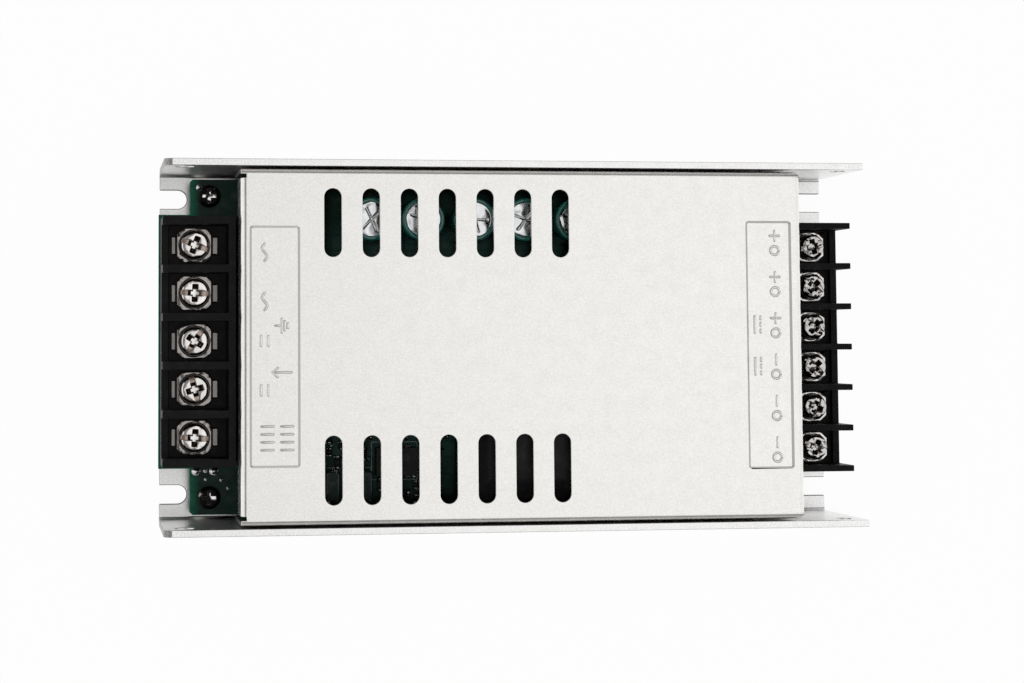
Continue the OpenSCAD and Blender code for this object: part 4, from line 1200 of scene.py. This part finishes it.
def solder_joint(bm, x, y, r, h):
    """A solder cone on its round pad."""
    profile = [(r, -0.05), (r, 0.06), (0.86 * r, 0.1), (0.6 * r, 0.28 * h), (0.4 * r, 0.6 * h),
               (0.28 * r, 0.9 * h), (0.12 * r, h)]
    lathe(bm, profile, at(x, y, BOARD_TOP), 20)


def solder_joints():
    """The joints seen at the input end of the board."""
    bm = bmesh.new()
    for joint in INPUT_JOINTS:
        solder_joint(bm, *joint)
    new_piece("board_solder_joints", bm, [SOLDER], "enclosure")


def printed_outlines():
    """Pale lines printed round the low parts on the board."""
    bm = bmesh.new()
    for node in PRINTED_ROUND:
        low, high = box_mm(node)
        left, right = low.x - PRINT_GAP, high.x + PRINT_GAP
        near, far = low.y - PRINT_GAP, high.y + PRINT_GAP
        corners = ((left, near), (right, near), (right, far), (left, far))
        ring = [Vector((x, y, BOARD_TOP)) for x, y in corners]
        for start, end in zip(ring, ring[1:] + ring[:1]):
            tube(bm, [start, end], PRINT_R, 6)
    new_piece("board_print", bm, [PRINT], "enclosure")


def stray_joints():
    """Small solder joints of the parts that stand on the control side of the board."""
    draw = random.Random(11)
    bm = bmesh.new()
    for _ in range(STRAY_JOINTS):
        x, y, r, h = [draw.uniform(*ends) for ends in STRAY_RANGES]
        solder_joint(bm, x, y, r, h)
    new_piece("board_stray_joints", bm, [SOLDER], "enclosure")


def transformer_jacket():
    """Black tape drawn tight over the core and the coil of the transformer."""
    core_low, core_high = box_mm("transformer_core")
    coil_low, coil_high = box_mm("transformer_bobbin")
    middle = (core_low + core_high) / 2
    drop = coil_high.z - core_high.z
    bm = bmesh.new()
    rows = []
    for share, z in ((0.0, 0.0), (1.0, -drop), (1.0, -drop - JACKET_SKIRT)):
        reach = [(coil_high[i] - coil_low[i]) / 2 * (1 - share) + (core_high[i] - core_low[i]) / 2 * share
                 + JACKET_GAP for i in (0, 1)]
        rows.append([bm.verts.new(Vector((middle.x + sx * reach[0], middle.y + sy * reach[1],
                                          coil_high.z + JACKET_GAP + z)) * MM)
                     for sx, sy in AROUND])
    skin(bm, rows)
    close_row(bm, rows[0])
    bmesh.ops.recalc_face_normals(bm, faces=bm.faces)
    soften(bm, 0.5, 3, 15)
    new_piece("transformer_jacket", bm, [JACKET], "enclosure")


def surface_part(bm, x, y, length, width, height, turned):
    """A surface-mounted part: a body between two tinned ends."""
    if turned:
        length, width = width, length
    along = 1 if turned else 0
    half = Vector((length / 2, width / 2, height))
    for low_end, high_end, swell, material in SURFACE_LENGTHS:
        corners = []
        for z in (0.0, half.z + swell):
            row = []
            for sx, sy in AROUND:
                spot = Vector((sx * (half.x + swell), sy * (half.y + swell), z))
                spot[along] = half[along] * (low_end if (sx, sy)[along] < 0 else high_end)
                row.append(bm.verts.new((spot + Vector((x, y, BOARD_TOP))) * MM))
            corners.append(row)
        skin(bm, corners, material)
        close_row(bm, corners[0][::-1], material)
        close_row(bm, corners[1], material)


def surface_parts():
    """Small parts scattered on the free board between the larger ones."""
    draw = random.Random(5)
    taken = [box_mm(node) for node in INSIDE_NODES]
    bm = bmesh.new()
    placed = []
    for _ in range(SURFACE_TRIES):
        x, y = draw.uniform(*SURFACE_X), draw.uniform(*SURFACE_Y)
        size = BIG_PART if draw.random() < BIG_SHARE else SMALL_PART
        turned = draw.random() < 0.5
        under = any(low.x - SURFACE_GAP < x < high.x + SURFACE_GAP
                    and low.y - SURFACE_GAP < y < high.y + SURFACE_GAP for low, high in taken)
        if not under and all(math.hypot(x - px, y - py) > SURFACE_APART for px, py in placed):
            placed.append((x, y))
            surface_part(bm, x, y, *size, turned)
    new_piece("board_surface_parts", bm, [PACKAGE, SOLDER], "enclosure")


# Parts inside

CAN_TURNS = 96
CAN_STRIPE = 9
LID_INSET = 1.14
LID_DROP = 0.46
LID_BULGE = 0.2
LID_RINGS = 20
SCORE_DEPTH = 0.2
SCORE_WIDTH = 0.24
SCORE_TURN = 1.25
CREASE = 0.14


def electrolytic(bm, x, y, z, r, h, spin):
    """A sleeved can with a grooved neck, a rolled lip and a scored, slightly bulged lid."""
    profile = [(r - 0.6, 0.0), (r - 0.15, 0.12), (r, 0.5), (r, 1.4), (r - 0.28, 1.68), (r - 0.35, 2.05),
               (r - 0.28, 2.42), (r, 2.7), (r, h - 0.7), (r - 0.1, h - 0.32), (r - 0.34, h - 0.08),
               (r - 0.62, h), (r - 0.9, h - 0.06), (r - 1.08, h - 0.22), (r - LID_INSET, h - 0.4)]
    rows = lathe(bm, profile, at(x, y, z), CAN_TURNS, 0, (True, False))
    stripe = int(CAN_TURNS * spin / (2 * math.pi))
    for low_row, high_row in zip(rows[7:9], rows[8:10]):
        for i in range(stripe, stripe + CAN_STRIPE):
            a, b = low_row[i % CAN_TURNS], high_row[(i + 1) % CAN_TURNS]
            for face in set(a.link_faces) & set(b.link_faces):
                face.material_index = 2
    rim = r - LID_INSET
    lid = [rows[-1]]
    for ring in range(1, LID_RINGS):
        reach = rim * (1 - ring / LID_RINGS)
        row = []
        for i in range(CAN_TURNS):
            a = 2 * math.pi * i / CAN_TURNS
            px, py = reach * math.cos(a), reach * math.sin(a)
            score = 0.0
            for line in (spin, spin + SCORE_TURN):
                across = px * math.sin(line) - py * math.cos(line)
                score = max(score, math.exp(-(across / SCORE_WIDTH) ** 2))
            score *= min(1.0, max(0.0, (0.85 * rim - reach) / 0.4))
            crease = CREASE * noise.noise(Vector((0.5 * px, 0.5 * py, spin * 7)))
            rise = LID_BULGE * (1 - (reach / rim) ** 2)
            top = z + h - LID_DROP + rise - SCORE_DEPTH * score + crease
            row.append(bm.verts.new(Vector((x + px, y + py, top)) * MM))
        lid.append(row)
    skin(bm, lid, 1)
    close_row(bm, lid[-1], 1)


def cans(node, axis, count):
    """A row of identical cans in a CAD node's place."""
    low, high = box_mm(node)
    d = high[1 - axis] - low[1 - axis]
    step = (high[axis] - low[axis] - d) / (count - 1)
    draw = random.Random(count + axis)
    bm = bmesh.new()
    for k in range(count):
        centre = [low.x + d / 2, low.y + d / 2]
        centre[axis] += k * step
        electrolytic(bm, centre[0], centre[1], low.z, d / 2, high.z - low.z, draw.uniform(0, 2 * math.pi))
    bmesh.ops.recalc_face_normals(bm, faces=bm.faces)
    new_piece(node + "_finished", bm, [SLEEVE, LID, SLEEVE_STRIPE], BODY_OF[node],
              (node,), 50)


WIRE_R = 0.6
# From a ring core's skin to the middle of the wire
WIRE_MID = 0.9
TURN_STEPS = 28
# How square a turn is: lower is squarer
TURN_POWER = 0.4
RING_BORE = {"filter_choke_core": 5.0, "output_choke_core": 5.5}


def wind_ring(bm, core, first, arc, turns):
    """Turns of wire round part of a ring core, with both ends brought down to the board."""
    low, high = box_mm(core)
    middle = (low + high) / 2
    outer = (high.x - low.x) / 2
    inner = RING_BORE[core]
    half_w = (outer - inner) / 2 + WIRE_MID
    half_h = (high.z - low.z) / 2 + WIRE_MID
    steps = turns * TURN_STEPS
    path = []
    for i in range(steps + 1):
        t = 2 * math.pi * turns * i / steps
        a = first + arc * i / steps
        across, up = math.cos(t), math.sin(t)
        reach = (outer + inner) / 2 + half_w * math.copysign(abs(across) ** TURN_POWER, across)
        lift = half_h * math.copysign(abs(up) ** TURN_POWER, up)
        path.append(Vector((middle.x + reach * math.cos(a), middle.y + reach * math.sin(a), middle.z + lift)))
    feet = [Vector((path[i].x, path[i].y, BOARD_TOP)) for i in (0, -1)]
    tube(bm, [feet[0]] + path + [feet[1]], WIRE_R, 8)


def winding(choke, firsts, arc, turns):
    """The wire of a ring choke: one coil from each first angle, over an arc in degrees."""
    node = choke + "_winding"
    bm = bmesh.new()
    for first in firsts:
        wind_ring(bm, choke + "_core", math.radians(first), math.radians(arc), turns)
    new_piece(node + "_finished", bm, [WIRE], BODY_OF[node], (node,), 60)


LEAD_R = 0.4


def coated_disc(bm, x, y, top, d, t):
    """A dipped disc that stands across the tray, with its coat run down two leads."""
    place = at(x, y, top - d / 2) @ Matrix.Rotation(math.pi / 2, 4, "Y")
    profile = []
    for i in range(25):
        a = math.pi * (i / 24 - 0.5)
        r = d / 2 * max(0.02, math.cos(a)) ** 0.4
        off = t / 2 * math.copysign(abs(math.sin(a)) ** 0.9, a)
        profile.append((r, off))
    lathe(bm, profile, place, 64)
    for side in (-1, 1):
        lead_y = y + side * d / 4
        foot = Vector((x, lead_y, BOARD_TOP))
        stand = top - d - BOARD_TOP
        tube(bm, [foot, foot + Vector((0, 0, stand + d / 4))], LEAD_R, 10, 1)
        lathe(bm, [(0.42, stand - 1.0), (0.62, stand - 0.5), (0.85, stand + 0.2), (1.0, stand + 1.2)],
              at(foot.x, foot.y, BOARD_TOP), 16)


def discs(node, t, material, d=None):
    """One or two coated discs in a CAD node's place."""
    low, high = box_mm(node)
    d = d or high.y - low.y
    bm = bmesh.new()
    for y in sorted({round(low.y + d / 2, 3), round(high.y - d / 2, 3)}):
        coated_disc(bm, (low.x + high.x) / 2, y, high.z, d, t)
    bmesh.ops.recalc_face_normals(bm, faces=bm.faces)
    new_piece(node + "_finished", bm, [material, TIN], BODY_OF[node], (node,), 50)


RESISTOR_R = 1.7
RESISTOR_HALF = 4.5
# Where the bands lie along a resistor, and how far its coat is drawn in there
BANDS = ((-3.5, 0), (-1.5, 0.2), (-0.3, 0.2), (1.2, 0.2))
# Heights above the board between which a power package is moulded
MOULDED_FROM = 3.45
MOULDED_TO = 12.6
PIN_REACH = 0.55


def resistors():
    """Two banded axial resistors with bent leads."""
    low, high = box_mm("power_resistors")
    middle_x = (low.x + high.x) / 2
    r, half = RESISTOR_R, RESISTOR_HALF
    reach = (high.x - low.x) / 2 - LEAD_R
    body = [(0.5, -half), (r - 0.25, -half + 0.1), (r, -half + 0.5), (r, -half + 1.5), (r - 0.2, -half + 2.0),
            (r - 0.2, half - 2.0), (r, half - 1.5), (r, half - 0.5), (r - 0.25, half - 0.1), (0.5, half)]
    bm = bmesh.new()
    for y in (low.y + r, high.y - r):
        axis_z = BOARD_TOP + r
        place = at(middle_x, y, axis_z) @ Matrix.Rotation(math.pi / 2, 4, "Y")
        lathe(bm, body, place, 32)
        for mid, sunk in BANDS:
            band_r = r - sunk
            lathe(bm, [(band_r - 0.05, mid - 0.3), (band_r + 0.03, mid - 0.28), (band_r + 0.03, mid + 0.28),
                       (band_r - 0.05, mid + 0.3)], place, 32, 1)
        for side in (-1, 1):
            points = [(reach, -r), (reach, -0.7), (reach - 0.12, -0.3), (reach - 0.35, -0.08),
                      (reach - 0.7, 0), (half - 0.2, 0)]
            lead = [Vector((middle_x + side * px, y, axis_z + pz)) for px, pz in points]
            tube(bm, lead, LEAD_R, 10, 2)
    bmesh.ops.recalc_face_normals(bm, faces=bm.faces)
    new_piece("power_resistors_finished", bm, [RESISTOR, BAND_DARK, TIN], "enclosure",
              ("power_resistors",), 50)


def packages(node):
    """Power packages: moulded bodies with bare tabs and leads."""
    bm = node_mesh(node)
    soften(bm, 0.15)
    for face in bm.faces:
        height = face.calc_center_median().z / MM - BOARD_TOP
        face.material_index = int(height < MOULDED_FROM or height > MOULDED_TO)
    dressed(node, bm, [PACKAGE, TIN])


def chips(node, material):
    """A moulded chip with tinned pins along both sides."""
    bm = node_mesh(node)
    soften(bm, 0.1)
    low, high = box_mm(node)
    for face in bm.faces:
        off = abs(face.calc_center_median().y / MM - (low.y + high.y) / 2)
        face.material_index = int(off > (high.y - low.y) / 2 - PIN_REACH)
    dressed(node, bm, [material, TIN])


MOULDED_PARTS = {
    "fuse": (FUSE_BROWN, "fuse_brown", 0.3),
    "filter_capacitor": (BOX_YELLOW, "film_yellow", 0.3),
    "filter_choke_core": (RING_GREY, "ferrite", 0.4),
    "bridge_rectifier": (PACKAGE, "package_black", 0.15),
    "switch_heat_bar": (BAR, "bar_aluminium", 0.2),
    "rectifier_heat_bar": (BAR, "bar_aluminium", 0.2),
    "transformer_core": (FERRITE, "ferrite", 0.3),
    "transformer_bobbin": (BOBBIN, "bobbin_black", 0.15),
    "transformer_winding": (TAPE, "tape_black", 0.2),
    "heat_bar_screws": (NICKEL, "plated_steel", 0.1),
    "output_choke_core": (RING_PAINT, "ring_core", 0.4),
    "film_capacitors": (COAT_GREEN, "epoxy_green", 0.3),
}
SHAPED_PARTS = ["varistor", "thermistor", "safety_capacitors", "bulk_capacitors", "output_capacitors",
                "switch_transistors", "output_rectifiers", "control_chip", "optocouplers", "power_resistors",
                "filter_choke_winding", "output_choke_winding"]
INSIDE_NODES = list(MOULDED_PARTS) + SHAPED_PARTS

for node, (material, slot, edge) in MOULDED_PARTS.items():
    finished(node, material, edge)
cans("bulk_capacitors", 0, 5)
cans("output_capacitors", 1, 5)
discs("varistor", 4.0, COAT_BLUE)
discs("thermistor", 4.6, COAT_DARK)
discs("safety_capacitors", 3.4, COAT_BLUE, 8.0)
winding("filter_choke", (26, 206), 128, 7)
winding("output_choke", (-159,), 318, 20)
packages("switch_transistors")
packages("output_rectifiers")
chips("control_chip", PACKAGE)
chips("optocouplers", PACKAGE_WHITE)
resistors()
solder_joints()
surface_parts()
printed_outlines()
stray_joints()
transformer_jacket()
